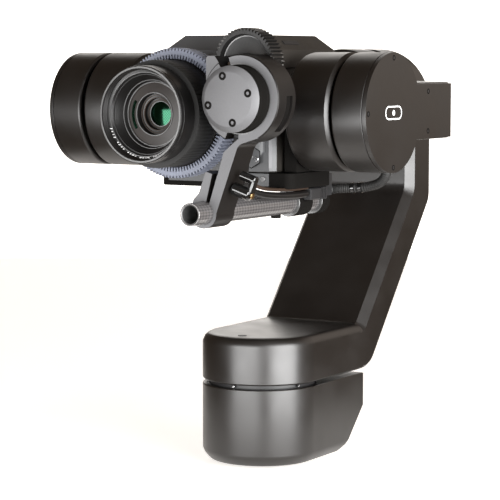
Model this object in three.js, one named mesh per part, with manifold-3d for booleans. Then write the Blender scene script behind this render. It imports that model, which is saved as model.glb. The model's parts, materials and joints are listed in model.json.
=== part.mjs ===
// Three-axis camera gimbal carrying a box camera, a zoom lens and a follow-focus drive.
// Millimetres, +Z up. The origin is on the pan axis at the underside of the base; the lens
// looks along -Y, and +X is the side of the tilt motor.
import * as THREE from "three";
import { mergeVertices } from "three/addons/utils/BufferGeometryUtils.js";
import Module from "manifold-3d";

const wasm = await Module();
wasm.setup();

// ---- driving dimensions ----
const GAP = 0.3; // between pieces that touch
const RUNNING = 0.05; // radial clearance of a turning shaft
const ROUND = { large: 32, medium: 28, small: 20, fine: 16, ring: 40 }; // segments of a full circle
const CHAMFER = { bevelSize: 5.5, bevelThickness: 6.5 }; // long edges of the arm and base
const REAR_CHAMFER = { bevelSize: 2, bevelThickness: 2 }; // rear and lower edges of the arm
const REAR_PART = 7; // depth under the arm's front face where its rear chamfer takes over

// pan base and arm
const HALF_WIDTH = 43; // also the radius of the round front
const BASE_BACK = 74.7;
const BASE_TOP = 55;
const FOOT_BOTTOM = 58;
const FOOT_TOP = 91.3;
const WALL = 3.2; // of the cast housings
const ARM_SLOPE = THREE.MathUtils.degToRad(50.3);
const ARM_THICKNESS = 32;
const ARM_FRONT = 151.4; // front face of the upright part, along Y
const ARM_REAR = 185;
const KNEE_Y = 72; // where the foot's top turns into the slope
const AXIS_Z = 250.5; // height of the roll and tilt axes

// roll block and tilt housings
const BLOCK_FRONT = 118.5;
const BLOCK_REAR = 149.5;
const TILT_Y = -43.2;
const TILT_RADIUS = 40;
const CUP_OUTER = 122.7; // |X| of the outer cup's closed end
const CUP_INNER = 100;
const HUB_OUTER = 97.5;
const HUB_INNER = 64;
const COVER = 3; // thickness of the side covers
const TAB_BACK = 48;
const TAB_HALF = 18.7;
const YOKE_HALF = 19.5;
const YOKE_DEPTH = 22.7; // bar depth of the yoke

// motors, all of one pattern
const MOTOR = { boss: 11, bore: 8.3, shaft: 4, stator: 28, rotor: 33, rotorWall: 4, disc: 3 };
const PAN_MOTOR = { root: 14, length: 22 };
const ROLL_MOTOR = { root: ARM_REAR - 5, length: 22 };
const TILT_MOTOR = { root: CUP_OUTER - 3, length: 15 };

// camera and cradle
const LENS_X = 7;
const PLATE = {
  bottom: 199, top: 209.7, front: -70, back: -13, half: 63.7,
  cornerX: -38.5, cornerY: -31, // the front left corner is cut off between these
};
const CAMERA = { left: -37.7, right: 51.5, front: -72.5, back: 16, bottom: 210, top: 302 };
const LEFT_FOOT = { front: -37, height: 12 }; // foot of the left upright, clear of the cut corner
const SHOULDER = 10;
const CAMERA_WALL = 5;

// lens and gears
const LENS_FRONT = -166.9;
const BARREL_NECK = 28;
const MODULE_MM = 0.8;
const RING_TEETH = 105;
const DRIVE_TEETH = 54;
const PINION_TEETH = 9;
const MESH_PLAY = 0.03; // added to each centre distance
const DRIVE_ANGLE = THREE.MathUtils.degToRad(31.4); // from the lens to the drive gear
const MOTOR_ANGLE = THREE.MathUtils.degToRad(-64.1); // from the drive gear to the motor

// follow-focus clamp, and the rod under the camera
const RING_OUTER = 28;
const RING_BORE = 22;
const RING_Y = [-151, -129];
const ROD = { x: 44.6, z: 187.8, radius: 7.5, bore: 6.3, front: -167, back: 3 };

const pitch = (teeth) => (MODULE_MM * teeth) / 2;
const stepTo = ([x, z], angle, distance) => [
  x + Math.cos(angle) * distance,
  z + Math.sin(angle) * distance,
];
const LENS = [LENS_X, AXIS_Z];
const DRIVE = stepTo(LENS, DRIVE_ANGLE, pitch(RING_TEETH + DRIVE_TEETH) + MESH_PLAY);
const FOCUS_MOTOR = stepTo(DRIVE, MOTOR_ANGLE, pitch(DRIVE_TEETH + PINION_TEETH) + MESH_PLAY);

// ---- finishes ----
const FINISH = {
  housing: { color: 0x2f2b28, roughness: 0.5, metalness: 0.6 },
  casting: { color: 0x33302e, roughness: 0.45, metalness: 0.6 },
  satin: { color: 0xa4a4a8, roughness: 0.4, metalness: 0.9 },
  steel: { color: 0xb8b8ba, roughness: 0.3, metalness: 1.0 },
  copper: { color: 0xb06a3a, roughness: 0.4, metalness: 0.9 },
  plastic: { color: 0x161616, roughness: 0.5, metalness: 0.0 },
  gloss: { color: 0x0a0a0a, roughness: 0.15, metalness: 0.0 },
  camera: { color: 0x55565a, roughness: 0.5, metalness: 0.5 },
  rubber: { color: 0x121212, roughness: 0.8, metalness: 0.0 },
  gear: { color: 0x9aa0bb, roughness: 0.5, metalness: 0.1 },
  glass: { color: 0x203028, roughness: 0.05, metalness: 0.0 },
  carbon: { color: 0x6a6668, roughness: 0.35, metalness: 0.3 },
  board: { color: 0x1d5a36, roughness: 0.6, metalness: 0.0 },
};

// ---- geometry helpers ----

// A closed solid of any three.js geometry, with shared vertices and outward faces.
function solid(geometry) {
  const bare = geometry.clone();
  bare.deleteAttribute("normal");
  bare.deleteAttribute("uv");
  const merged = mergeVertices(bare, 1e-4);
  const corners = merged.index.array;
  const at = (i) => new THREE.Vector3().fromBufferAttribute(merged.attributes.position, i);
  const faces = [];
  let volume = 0;
  for (let i = 0; i < corners.length; i += 3) {
    const [a, b, c] = corners.slice(i, i + 3);
    if (a === b || b === c || c === a) continue;
    faces.push([a, b, c]);
    volume += at(a).dot(at(b).cross(at(c)));
  }
  const outward = volume > 0 ? faces : faces.map(([a, b, c]) => [a, c, b]);
  const made = new wasm.Manifold(
    new wasm.Mesh({
      numProp: 3,
      vertProperties: new Float32Array(merged.attributes.position.array),
      triVerts: new Uint32Array(outward.flat()),
    }),
  );
  if (made.isEmpty()) throw new Error("a solid came out empty");
  return made;
}

function geometryOf(made) {
  const mesh = made.getMesh();
  const geometry = new THREE.BufferGeometry();
  geometry.setAttribute("position", new THREE.BufferAttribute(mesh.vertProperties, 3));
  geometry.setIndex(new THREE.BufferAttribute(mesh.triVerts, 1));
  return geometry.toNonIndexed();
}

const join = (first, ...others) => others.reduce((all, one) => all.add(one), first);
const cut = (first, ...others) => others.reduce((all, one) => all.subtract(one), first);

// Where a sketch's x, y and normal directions point for an extrusion along each axis.
const SKETCH = {
  x: [new THREE.Vector3(0, 1, 0), new THREE.Vector3(0, 0, 1), new THREE.Vector3(1, 0, 0)],
  y: [new THREE.Vector3(1, 0, 0), new THREE.Vector3(0, 0, 1), new THREE.Vector3(0, 1, 0)],
  z: [new THREE.Vector3(1, 0, 0), new THREE.Vector3(0, 1, 0), new THREE.Vector3(0, 0, 1)],
};

// A sketch in the plane across an axis (YZ, XZ or XY), extruded between two places on it.
function extrude(axis, shape, from, to, bevel = null, curveSegments = 8) {
  const thickness = bevel ? bevel.bevelThickness : 0;
  const options = { depth: to - from - 2 * thickness, bevelEnabled: false, curveSegments };
  if (bevel) {
    Object.assign(options, bevel, {
      bevelEnabled: true,
      bevelOffset: -bevel.bevelSize,
      bevelSegments: 1,
    });
  }
  const geometry = new THREE.ExtrudeGeometry(shape, options);
  geometry.translate(0, 0, from + thickness);
  return solid(geometry.applyMatrix4(new THREE.Matrix4().makeBasis(...SKETCH[axis])));
}

// A profile of [radius, place along the axis] turned about an axis through a centre.
const TURN = {
  x: new THREE.Matrix4().makeRotationZ(-Math.PI / 2),
  y: new THREE.Matrix4(),
  z: new THREE.Matrix4().makeRotationX(Math.PI / 2),
};
function turn(axis, centre, profile, segments = ROUND.medium) {
  const points = profile.map(([radius, place]) => new THREE.Vector2(radius, place));
  if (profile[0][0] > 0) points.push(points[0].clone());
  const geometry = new THREE.LatheGeometry(points, segments);
  return solid(geometry.applyMatrix4(TURN[axis]).translate(...centre));
}

const disc = (axis, centre, radius, from, to, segments) =>
  turn(axis, centre, [[0, from], [radius, from], [radius, to], [0, to]], segments);
const tube = (axis, centre, inner, outer, from, to, segments) =>
  turn(axis, centre, [[inner, from], [outer, from], [outer, to], [inner, to]], segments);

function box([x0, x1], [y0, y1], [z0, z1]) {
  const geometry = new THREE.BoxGeometry(x1 - x0, y1 - y0, z1 - z0);
  return solid(geometry.translate((x0 + x1) / 2, (y0 + y1) / 2, (z0 + z1) / 2));
}

// A closed outline through corners [x, y, fillet radius].
function outline(corners) {
  const shape = new THREE.Shape();
  corners.forEach(([x, y, radius = 0], i) => {
    const here = new THREE.Vector2(x, y);
    if (!radius) {
      if (i) shape.lineTo(x, y);
      else shape.moveTo(x, y);
      return;
    }
    const toward = (corner) => new THREE.Vector2(corner[0], corner[1]).sub(here).normalize();
    const back = toward(corners.at(i - 1));
    const on = toward(corners[(i + 1) % corners.length]);
    const half = Math.acos(back.dot(on)) / 2;
    const start = here.clone().addScaledVector(back, radius / Math.tan(half));
    const end = here.clone().addScaledVector(on, radius / Math.tan(half));
    const middle = back.clone().add(on).normalize();
    const centre = here.clone().addScaledVector(middle, radius / Math.sin(half));
    if (i) shape.lineTo(start.x, start.y);
    else shape.moveTo(start.x, start.y);
    const angle = (point) => Math.atan2(point.y - centre.y, point.x - centre.x);
    const clockwise = back.cross(on) > 0;
    shape.absarc(centre.x, centre.y, radius, angle(start), angle(end), clockwise);
  });
  return shape;
}

// A tube with a round section of few sides along a smooth route.
function cable(points, radius, steps) {
  const route = new THREE.CatmullRomCurve3(points.map((point) => new THREE.Vector3(...point)));
  const section = new THREE.Shape();
  for (let side = 0; side < 8; side += 1) {
    const angle = (side * Math.PI) / 4;
    const corner = [Math.cos(angle) * radius, Math.sin(angle) * radius];
    if (side) section.lineTo(...corner);
    else section.moveTo(...corner);
  }
  return solid(new THREE.ExtrudeGeometry(section, { steps, extrudePath: route }));
}

const object = new THREE.Group();

function piece(name, made, finish) {
  const mesh = new THREE.Mesh(geometryOf(made), new THREE.MeshStandardMaterial(FINISH[finish]));
  mesh.name = name;
  object.add(mesh);
}

// ---- motors ----
// A motor stands at root on its axis and grows in the direction of sign: a fixed boss holds
// the stator and the bearing, and the rotor's disc and shaft turn with the next body.

const along = (motor, sign) => (place) => motor.root + sign * place;

function motorBoss(axis, centre, motor, sign) {
  const at = along(motor, sign);
  return tube(axis, centre, MOTOR.bore, MOTOR.boss, at(-1), at(motor.length), ROUND.small);
}

function statorShape() {
  const shape = new THREE.Shape();
  const poles = 12;
  const slot = MOTOR.boss + 6;
  for (let pole = 0; pole < poles; pole += 1) {
    const at = (part) => ((pole + part) * 2 * Math.PI) / poles;
    const corners = [[MOTOR.stator, 0.04], [MOTOR.stator, 0.74], [slot, 0.74], [slot, 1.04]];
    corners.forEach(([radius, part], i) => {
      const point = [radius * Math.cos(at(part)), radius * Math.sin(at(part))];
      if (pole || i) shape.lineTo(...point);
      else shape.moveTo(...point);
    });
  }
  const hole = new THREE.Path();
  hole.absarc(0, 0, MOTOR.boss + GAP, 0, 2 * Math.PI, true);
  shape.holes.push(hole);
  return shape;
}

function stator(axis, centre, motor, sign) {
  const at = along(motor, sign);
  const ends = [at(5), at(motor.length - 2)].sort((a, b) => a - b);
  return extrude(axis, statorShape(), ...ends).translate(...centre);
}

function bearing(axis, centre, motor, sign) {
  const at = along(motor, sign);
  const inner = MOTOR.shaft + RUNNING;
  const outer = MOTOR.bore - GAP;
  return tube(axis, centre, inner, outer, at(motor.length - 11), at(motor.length - 1));
}

function rotor(axis, centre, motor, sign) {
  const at = along(motor, sign);
  const top = motor.length + 0.6;
  return turn(axis, centre, [
    [MOTOR.shaft + GAP, at(top)],
    [MOTOR.rotor - MOTOR.rotorWall, at(top)],
    [MOTOR.rotor - MOTOR.rotorWall, at(6)],
    [MOTOR.rotor, at(6)],
    [MOTOR.rotor, at(top + MOTOR.disc)],
    [MOTOR.shaft + GAP, at(top + MOTOR.disc)],
  ]);
}

function shaft(axis, centre, motor, sign) {
  const at = along(motor, sign);
  return disc(axis, centre, MOTOR.shaft, at(motor.length - 12.5), at(motor.length + 17));
}

// ---- pan base ----
const PAN = [0, 0, 0];

// The D-shaped plan shared by the base and the foot: a round front and straight sides.
function footPlan(back) {
  const shape = new THREE.Shape();
  shape.moveTo(-HALF_WIDTH, back);
  shape.lineTo(-HALF_WIDTH, 0);
  shape.absarc(0, 0, HALF_WIDTH, Math.PI, 2 * Math.PI, false);
  shape.lineTo(HALF_WIDTH, back);
  return shape;
}

function baseHousing() {
  const rim = { bevelSize: 5.8, bevelThickness: 8 };
  const body = extrude("z", footPlan(BASE_BACK), 0, BASE_TOP + 20, rim, 11);
  const above = box([-60, 60], [-60, 100], [BASE_TOP, BASE_TOP + 40]);
  const slant = extrude("x", outline([[39, -5], [95, 51], [95, -5]]), -60, 60);
  const well = disc("z", PAN, 38.5, 6.5, BASE_TOP + 1, ROUND.large);
  const bay = [[0, 8], [47.3, 8], [71.5, 32.2], [71.5, 51], [0, 51]];
  const rearBay = extrude("x", outline(bay), WALL - HALF_WIDTH, HALF_WIDTH - WALL);
  const underside = disc("z", PAN, 30, -1, 3 + GAP, ROUND.medium);
  const bossTop = PAN_MOTOR.root + PAN_MOTOR.length;
  const boss = tube("z", PAN, MOTOR.bore, MOTOR.boss, 6, bossTop, ROUND.small);
  return join(cut(body, above, slant, well, rearBay, underside), boss);
}

function buildBase() {
  piece("base_housing", baseHousing(), "casting");
  piece("base_plate", disc("z", PAN, 30 - GAP, 0, 3, ROUND.medium), "plastic");
  piece("pan_stator", stator("z", PAN, PAN_MOTOR, 1), "copper");
  piece("pan_bearing", bearing("z", PAN, PAN_MOTOR, 1), "steel");
  const board = box([-30, 30], [44, 66], [38, 39.6]);
  const chip = box([-8, 8], [48, 62], [39.4, 42]);
  piece("control_board", join(board, chip), "board");
}

// ---- pan arm ----
const ROLL = [0, 0, AXIS_Z];

// The arm's side outline, moved inwards by an inset; Y runs across and Z up.
function armProfile(inset, startY, topZ, fillets, rearInset = inset) {
  const [sin, cos, tan] = [Math.sin(ARM_SLOPE), Math.cos(ARM_SLOPE), Math.tan(ARM_SLOPE)];
  const front = [KNEE_Y + inset * sin, FOOT_TOP - inset * cos];
  const far = ARM_THICKNESS - rearInset;
  const rear = [KNEE_Y + far * sin, FOOT_TOP - far * cos];
  const zAt = ([y0, z0], y) => z0 + (y - y0) * tan;
  const yAt = ([y0, z0], z) => y0 + (z - z0) / tan;
  const [low, high] = [FOOT_BOTTOM + rearInset, FOOT_TOP - inset];
  const [near, back] = [ARM_FRONT + inset, ARM_REAR - rearInset];
  return outline([
    [startY, low],
    [yAt(rear, low), low, fillets.heel],
    [back, zAt(rear, back), fillets.bend],
    [back, topZ],
    [near, topZ],
    [near, zAt(front, near), fillets.bend],
    [yAt(front, high), high, fillets.knee],
    [startY, high],
  ]);
}

function armTop() {
  const shape = new THREE.Shape();
  shape.moveTo(HALF_WIDTH, AXIS_Z - 62);
  shape.lineTo(HALF_WIDTH, AXIS_Z);
  shape.absarc(0, AXIS_Z, HALF_WIDTH, 0, Math.PI, false);
  shape.lineTo(-HALF_WIDTH, AXIS_Z - 62);
  const front = extrude("y", shape, ARM_FRONT, ARM_REAR, CHAMFER, 11);
  return join(front, extrude("y", shape, ARM_FRONT + REAR_PART, ARM_REAR, REAR_CHAMFER, 11));
}

function armCasting() {
  const foot = extrude("z", footPlan(BASE_BACK), FOOT_BOTTOM - 20, FOOT_TOP, CHAMFER, 11);
  const below = box([-60, 60], [-60, 100], [FOOT_BOTTOM - 30, FOOT_BOTTOM]);
  const across = { bevelSize: CHAMFER.bevelThickness, bevelThickness: CHAMFER.bevelSize };
  const side = armProfile(0, 0, AXIS_Z - 35, { heel: 20, bend: 14, knee: 6 });
  const arm = extrude("x", side, -HALF_WIDTH, HALF_WIDTH, across, 4);
  const rearSide = armProfile(REAR_PART, 0, AXIS_Z - 35, { heel: 20, bend: 14, knee: 6 }, 0);
  const rearBar = extrude("x", rearSide, -HALF_WIDTH, HALF_WIDTH, REAR_CHAMFER, 4);
  const inside = armProfile(WALL, 0, AXIS_Z - 20, { heel: 0, bend: 0, knee: 0 });
  const duct = extrude("x", inside, WALL - HALF_WIDTH, HALF_WIDTH - WALL);
  const well = turn("z", PAN, [
    [0, FOOT_BOTTOM - 1],
    [33.5, FOOT_BOTTOM - 1],
    [33.5, FOOT_BOTTOM + WALL],
    [HALF_WIDTH - WALL, FOOT_BOTTOM + WALL],
    [HALF_WIDTH - WALL, FOOT_TOP - CHAMFER.bevelThickness - 2],
    [HALF_WIDTH - WALL - CHAMFER.bevelSize, FOOT_TOP - WALL],
    [0, FOOT_TOP - WALL],
  ], ROUND.large);
  const motorRoom = disc("y", ROLL, 36, ARM_FRONT - 1, ROLL_MOTOR.root, ROUND.large);
  const coverSeat = disc("y", ROLL, 30, ARM_REAR - 2.7, ARM_REAR + 1, ROUND.medium);
  const shell = cut(join(cut(foot, below), arm, rearBar, armTop()), duct, well, motorRoom, coverSeat);
  const neckFoot = PAN_MOTOR.root + PAN_MOTOR.length + 0.9 + MOTOR.disc;
  const neck = tube("z", PAN, MOTOR.shaft + GAP, 16, neckFoot, FOOT_TOP - 2, ROUND.small);
  const lip = tube("z", PAN, 34.5, 38, BASE_TOP - 5, FOOT_BOTTOM + 1, ROUND.large);
  return join(shell, neck, lip, motorBoss("y", ROLL, ROLL_MOTOR, -1));
}

function buildArm() {
  piece("arm_casting", armCasting(), "casting");
  const cover = disc("y", ROLL, 30 - GAP, ARM_REAR - 2.7 + GAP, ARM_REAR + 1.5, ROUND.medium);
  piece("arm_rear_cover", cover, "housing");
  piece("pan_rotor", rotor("z", PAN, PAN_MOTOR, 1), "steel");
  piece("pan_shaft", shaft("z", PAN, PAN_MOTOR, 1), "steel");
  piece("roll_stator", stator("y", ROLL, ROLL_MOTOR, -1), "copper");
  piece("roll_bearing", bearing("y", ROLL, ROLL_MOTOR, -1), "steel");
}

// ---- yoke ----
const TILT = [0, TILT_Y, AXIS_Z];

function yokeBlock() {
  const neckEnd = ROLL_MOTOR.root - ROLL_MOTOR.length - MOTOR.disc - 0.9;
  return turn("y", ROLL, [
    [0, BLOCK_FRONT],
    [41, BLOCK_FRONT],
    [43, BLOCK_FRONT + 2],
    [43, BLOCK_REAR - 1.5],
    [41.5, BLOCK_REAR],
    [39, BLOCK_REAR],
    [39, BLOCK_FRONT + WALL],
    [16, BLOCK_FRONT + WALL],
    [16, neckEnd],
    [MOTOR.shaft + GAP, neckEnd],
    [MOTOR.shaft + GAP, BLOCK_FRONT + 18],
    [0, BLOCK_FRONT + 18],
  ], ROUND.large);
}

// The bar from a tilt cup back and diagonally in to the roll block, inset for its channel.
function barPlan(side, inset) {
  const outer = CUP_OUTER - inset;
  const inner = CUP_OUTER - YOKE_DEPTH + inset;
  const diagonal = Math.SQRT2 * inset;
  const outerSum = CUP_OUTER + TAB_BACK - diagonal;
  const innerSum = outerSum + 2 * diagonal - Math.SQRT2 * 22;
  const blockX = 38;
  return outline([
    [outer * side, -30 + 2 * inset],
    [outer * side, outerSum - outer],
    [blockX * side, outerSum - blockX],
    [(innerSum - BLOCK_FRONT) * side, BLOCK_FRONT],
    [inner * side, innerSum - inner],
    [inner * side, -30 + 2 * inset],
  ]);
}

function yokeArm(side) {
  const cup = disc("x", TILT, TILT_RADIUS, side * CUP_INNER, side * CUP_OUTER, ROUND.large);
  const heights = (half) => [AXIS_Z - half, AXIS_Z + half];
  const bar = extrude("z", barPlan(side, 0), ...heights(YOKE_HALF));
  const channel = extrude("z", barPlan(side, WALL), ...heights(YOKE_HALF - WALL));
  const depth = [side * (CUP_INNER - 1), side * TILT_MOTOR.root];
  const room = disc("x", TILT, TILT_RADIUS - WALL, ...depth, ROUND.large);
  const block = disc("y", ROLL, 43 + GAP, BLOCK_FRONT - GAP, BLOCK_REAR + 1, ROUND.large);
  const motor = { root: side * TILT_MOTOR.root, length: TILT_MOTOR.length };
  const shell = cut(join(cup, bar), channel, room, block);
  return join(shell, motorBoss("x", TILT, motor, -side));
}

function tiltCover(side) {
  const shape = new THREE.Shape();
  const start = Math.asin(TAB_HALF / TILT_RADIUS);
  shape.absarc(TILT_Y, AXIS_Z, TILT_RADIUS, start, 2 * Math.PI - start, false);
  shape.lineTo(TAB_BACK, AXIS_Z - TAB_HALF);
  shape.lineTo(TAB_BACK, AXIS_Z + TAB_HALF);
  const faces = [side * (CUP_OUTER + GAP), side * (CUP_OUTER + GAP + COVER)];
  return extrude("x", shape, Math.min(...faces), Math.max(...faces), null, 12);
}

function buildYoke() {
  piece("yoke_block", yokeBlock(), "housing");
  piece("roll_rotor", rotor("y", ROLL, ROLL_MOTOR, -1), "steel");
  piece("roll_shaft", shaft("y", ROLL, ROLL_MOTOR, -1), "steel");
  piece("tilt_stator", stator("x", TILT, TILT_MOTOR, -1), "copper");
  for (const [side, word] of [[1, "right"], [-1, "left"]]) {
    const motor = { root: side * TILT_MOTOR.root, length: TILT_MOTOR.length };
    piece(`yoke_arm_${word}`, yokeArm(side), "housing");
    piece(`tilt_cover_${word}`, tiltCover(side), "housing");
    piece(`tilt_bearing_${word}`, bearing("x", TILT, motor, -side), "steel");
  }
}

// ---- tilt cradle ----

function tiltHub(side) {
  const neckEnd = TILT_MOTOR.root - TILT_MOTOR.length - MOTOR.disc - 0.9;
  const profile = [
    [0, HUB_INNER],
    [36, HUB_INNER],
    [39, HUB_INNER + 1.2],
    [TILT_RADIUS, HUB_INNER + 4],
    [TILT_RADIUS, HUB_OUTER - 1.5],
    [TILT_RADIUS - 1.5, HUB_OUTER],
    [TILT_RADIUS - WALL, HUB_OUTER],
    [TILT_RADIUS - WALL, HUB_INNER + 4],
    [16, HUB_INNER + 4],
    [16, neckEnd],
    [MOTOR.shaft + GAP, neckEnd],
    [MOTOR.shaft + GAP, HUB_INNER + 20],
    [0, HUB_INNER + 20],
  ];
  return turn("x", TILT, profile.map(([radius, x]) => [radius, side * x]), ROUND.large);
}

function upright(side) {
  const faces = [side * (HUB_INNER - 10), side * (HUB_INNER - GAP)].sort((a, b) => a - b);
  const shape = new THREE.Shape();
  shape.moveTo(TILT_Y + 20, PLATE.top + GAP);
  shape.lineTo(TILT_Y + 20, AXIS_Z);
  shape.absarc(TILT_Y, AXIS_Z, 20, 0, Math.PI, false);
  const footFront = side > 0 ? TILT_Y - 20 : LEFT_FOOT.front;
  shape.lineTo(TILT_Y - 20, AXIS_Z - 10);
  shape.lineTo(footFront, PLATE.top + LEFT_FOOT.height);
  shape.lineTo(footFront, PLATE.top + GAP);
  return extrude("x", shape, ...faces, null, 8);
}

function cradlePlate() {
  const { front, back, half } = PLATE;
  const shape = outline([
    [PLATE.cornerX, front, 3],
    [half, front, 6],
    [half, back, 6],
    [-half, back, 6],
    [-half, PLATE.cornerY, 4],
  ]);
  return extrude("z", shape, PLATE.bottom, PLATE.top, null, 3);
}

function cameraBody() {
  const { left, right, front, back, bottom, top } = CAMERA;
  const shape = outline([
    [left, front],
    [right, front],
    [right, back],
    [left, back],
  ]);
  const bevel = { bevelSize: SHOULDER, bevelThickness: SHOULDER };
  const whole = extrude("z", shape, bottom - 20, top, bevel);
  const below = box([left - 1, right + 1], [front - 1, back + 1], [bottom - 21, bottom]);
  const room = box(
    [left + CAMERA_WALL, right - CAMERA_WALL],
    [front + 8, back + 1],
    [bottom + CAMERA_WALL, top - SHOULDER - 3],
  );
  const mouth = disc("y", [LENS_X, 0, AXIS_Z], 24.3, front - 1, front + 9, ROUND.medium);
  return cut(whole, below, room, mouth, buttonSeat());
}

// The key on the right shoulder lies along Y in a slot cut square to the 45 degree chamfer.
const KEY = { from: -52, to: -32, half: 1.7, depth: 2.2, proud: 0.5 };
function keyBar(half, low, high, from, to) {
  const geometry = new THREE.BoxGeometry(2 * half, to - from, high - low);
  geometry.translate(0, (from + to) / 2, (low + high) / 2);
  geometry.rotateY(Math.PI / 4);
  geometry.translate(CAMERA.right - SHOULDER / 2, 0, CAMERA.top - SHOULDER / 2);
  return solid(geometry);
}
const buttonSeat = () => keyBar(KEY.half + 0.2, -KEY.depth, 3, KEY.from - 0.2, KEY.to + 0.2);
const sideButton = () => keyBar(KEY.half, 1 - KEY.depth, KEY.proud, KEY.from, KEY.to);

function cameraFrontPlate() {
  const { left, right, front, bottom, top } = CAMERA;
  const shape = outline([
    [left + 5, bottom + 14],
    [left + 15, bottom + 4],
    [right - 17, bottom + 4],
    [right - 7, bottom + 14],
    [right - 7, top - 24],
    [right - 17, top - 12],
    [left + 15, top - 12],
    [left + 5, top - 24],
  ]);
  const hole = new THREE.Path();
  hole.absarc(LENS_X, AXIS_Z, 29 + GAP, 0, 2 * Math.PI, true);
  shape.holes.push(hole);
  return extrude("y", shape, front - GAP - 2.5, front - GAP, null, 12);
}

function imageSensor() {
  const back = CAMERA.front + 8 + GAP;
  const centre = LENS_X;
  const board = box([centre - 20, centre + 20], [back, back + 2], [AXIS_Z - 16, AXIS_Z + 16]);
  const chip = box([centre - 11, centre + 11], [back - 3, back + 1], [AXIS_Z - 8, AXIS_Z + 8]);
  return join(board, chip);
}

function buildCradle() {
  for (const [side, word] of [[1, "right"], [-1, "left"]]) {
    const motor = { root: side * TILT_MOTOR.root, length: TILT_MOTOR.length };
    piece(`tilt_hub_${word}`, tiltHub(side), "housing");
    piece(`tilt_shaft_${word}`, shaft("x", TILT, motor, -side), "steel");
    piece(`upright_${word}`, upright(side), "plastic");
  }
  piece("tilt_rotor", rotor("x", TILT, TILT_MOTOR, -1), "steel");
  piece("cradle_plate", cradlePlate(), "plastic");
  piece("camera_body", cameraBody(), "camera");
  const { left, right, back, bottom, top } = CAMERA;
  const rear = box(
    [left + CAMERA_WALL + GAP, right - CAMERA_WALL - GAP],
    [back - 4, back],
    [bottom + CAMERA_WALL + GAP, top - SHOULDER - 3 - GAP],
  );
  piece("camera_rear_panel", rear, "plastic");
  piece("camera_front_plate", cameraFrontPlate(), "camera");
  piece("image_sensor", imageSensor(), "board");
  piece("side_button", sideButton(), "plastic");
}

// ---- lens ----
const LENS_AXIS = [LENS_X, 0, AXIS_Z];

function buildLens() {
  const mount = tube("y", LENS_AXIS, 24.3, 29, -78, CAMERA.front - GAP, ROUND.large);
  piece("lens_mount_ring", mount, "steel");
  const barrel = turn("y", LENS_AXIS, [
    [24, -78 - GAP],
    [33, -78 - GAP],
    [33, -113],
    [BARREL_NECK, -113],
    [BARREL_NECK, -151],
    [24, -151],
  ], ROUND.ring);
  piece("lens_barrel", barrel, "plastic");
  const front = turn("y", LENS_AXIS, [
    [29.5, LENS_FRONT],
    [31.5, LENS_FRONT],
    [31.5, -151 - GAP],
    [24 - GAP, -151 - GAP],
    [24 - GAP, -141],
    [20.9, -141],
    [20.9, -149.5],
    [22, -152.4],
    [27, -161],
    [29.5, -162],
  ], ROUND.ring);
  piece("lens_front_tube", front, "plastic");
  const glass = turn("y", LENS_AXIS, [
    [0, -150.5],
    [8, -150.1],
    [15, -149],
    [20.6, -147.4],
    [20.6, -143],
    [0, -143],
  ]);
  piece("lens_glass", glass, "glass");
  const bore = BARREL_NECK + 2 * RUNNING;
  piece("focus_ring", tube("y", LENS_AXIS, bore, 35.2, -128.8, -113.4, ROUND.ring), "rubber");
  const zoom = turn("y", LENS_AXIS, [
    [bore, -150.7],
    [34, -150.7],
    [35, -149.5],
    [35, -129.3],
    [bore, -129.3],
  ], ROUND.ring);
  piece("zoom_ring", zoom, "rubber");
}

// ---- follow-focus gears ----

// An involute tooth's half angle at a radius, and its outline round the gear.
const involute = (angle) => Math.tan(angle) - angle;
function toothHalfAngle(teeth, radius) {
  const pressure = THREE.MathUtils.degToRad(20);
  const base = pitch(teeth) * Math.cos(pressure);
  const play = 0.1 / (2 * pitch(teeth));
  const atPitch = Math.PI / (2 * teeth) - play + involute(pressure);
  return atPitch - involute(Math.acos(Math.min(1, base / radius)));
}

function gearShape([x, z], teeth, phase, levels) {
  const points = [];
  const radii = levels.map(([offset]) => pitch(teeth) + offset * MODULE_MM);
  const halves = radii.map((radius, i) => toothHalfAngle(teeth, radius) * levels[i][1]);
  const order = [...radii.keys()];
  for (let tooth = 0; tooth < teeth; tooth += 1) {
    const middle = phase + (tooth * 2 * Math.PI) / teeth;
    const rising = order.map((i) => [radii[i], middle - halves[i]]);
    const falling = order.toReversed().map((i) => [radii[i], middle + halves[i]]);
    for (const [radius, angle] of [...rising, ...falling]) {
      points.push(new THREE.Vector2(x + radius * Math.cos(angle), z + radius * Math.sin(angle)));
    }
  }
  return new THREE.Shape(points);
}

const MOTOR_AXIS = [FOCUS_MOTOR[0], 0, FOCUS_MOTOR[1]];
const RING_PHASE = DRIVE_ANGLE;
const DRIVE_PHASE = DRIVE_ANGLE + Math.PI + Math.PI / DRIVE_TEETH;
// The pinion's gap faces the drive gear's tooth nearest to the line between their axes.
const toothOffset = (DRIVE_PHASE - MOTOR_ANGLE) % ((2 * Math.PI) / DRIVE_TEETH);
const PINION_PHASE =
  MOTOR_ANGLE + Math.PI + Math.PI / PINION_TEETH - (toothOffset * DRIVE_TEETH) / PINION_TEETH;

function gearRing() {
  const shape = gearShape(LENS, RING_TEETH, RING_PHASE, [[-1.15, 1], [0.95, 1]]);
  const bore = new THREE.Path();
  bore.absarc(...LENS, 35.5, 0, 2 * Math.PI, true);
  shape.holes.push(bore);
  return extrude("y", shape, -127.6, -115.6, null, ROUND.large / 2);
}

const DRIVE_AXIS = [DRIVE[0], 0, DRIVE[1]];
const AXLE_RADIUS = 2;

function driveGear() {
  const shape = gearShape(DRIVE, DRIVE_TEETH, DRIVE_PHASE, [[-1.15, 1], [0.95, 1]]);
  const gear = extrude("y", shape, -128.5, -114.5);
  const recess = tube("y", DRIVE_AXIS, 6, 18, -130, -124.5, ROUND.small);
  const bore = disc("y", DRIVE_AXIS, AXLE_RADIUS + RUNNING, -130, -110, ROUND.small);
  return cut(gear, recess, bore);
}

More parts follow.
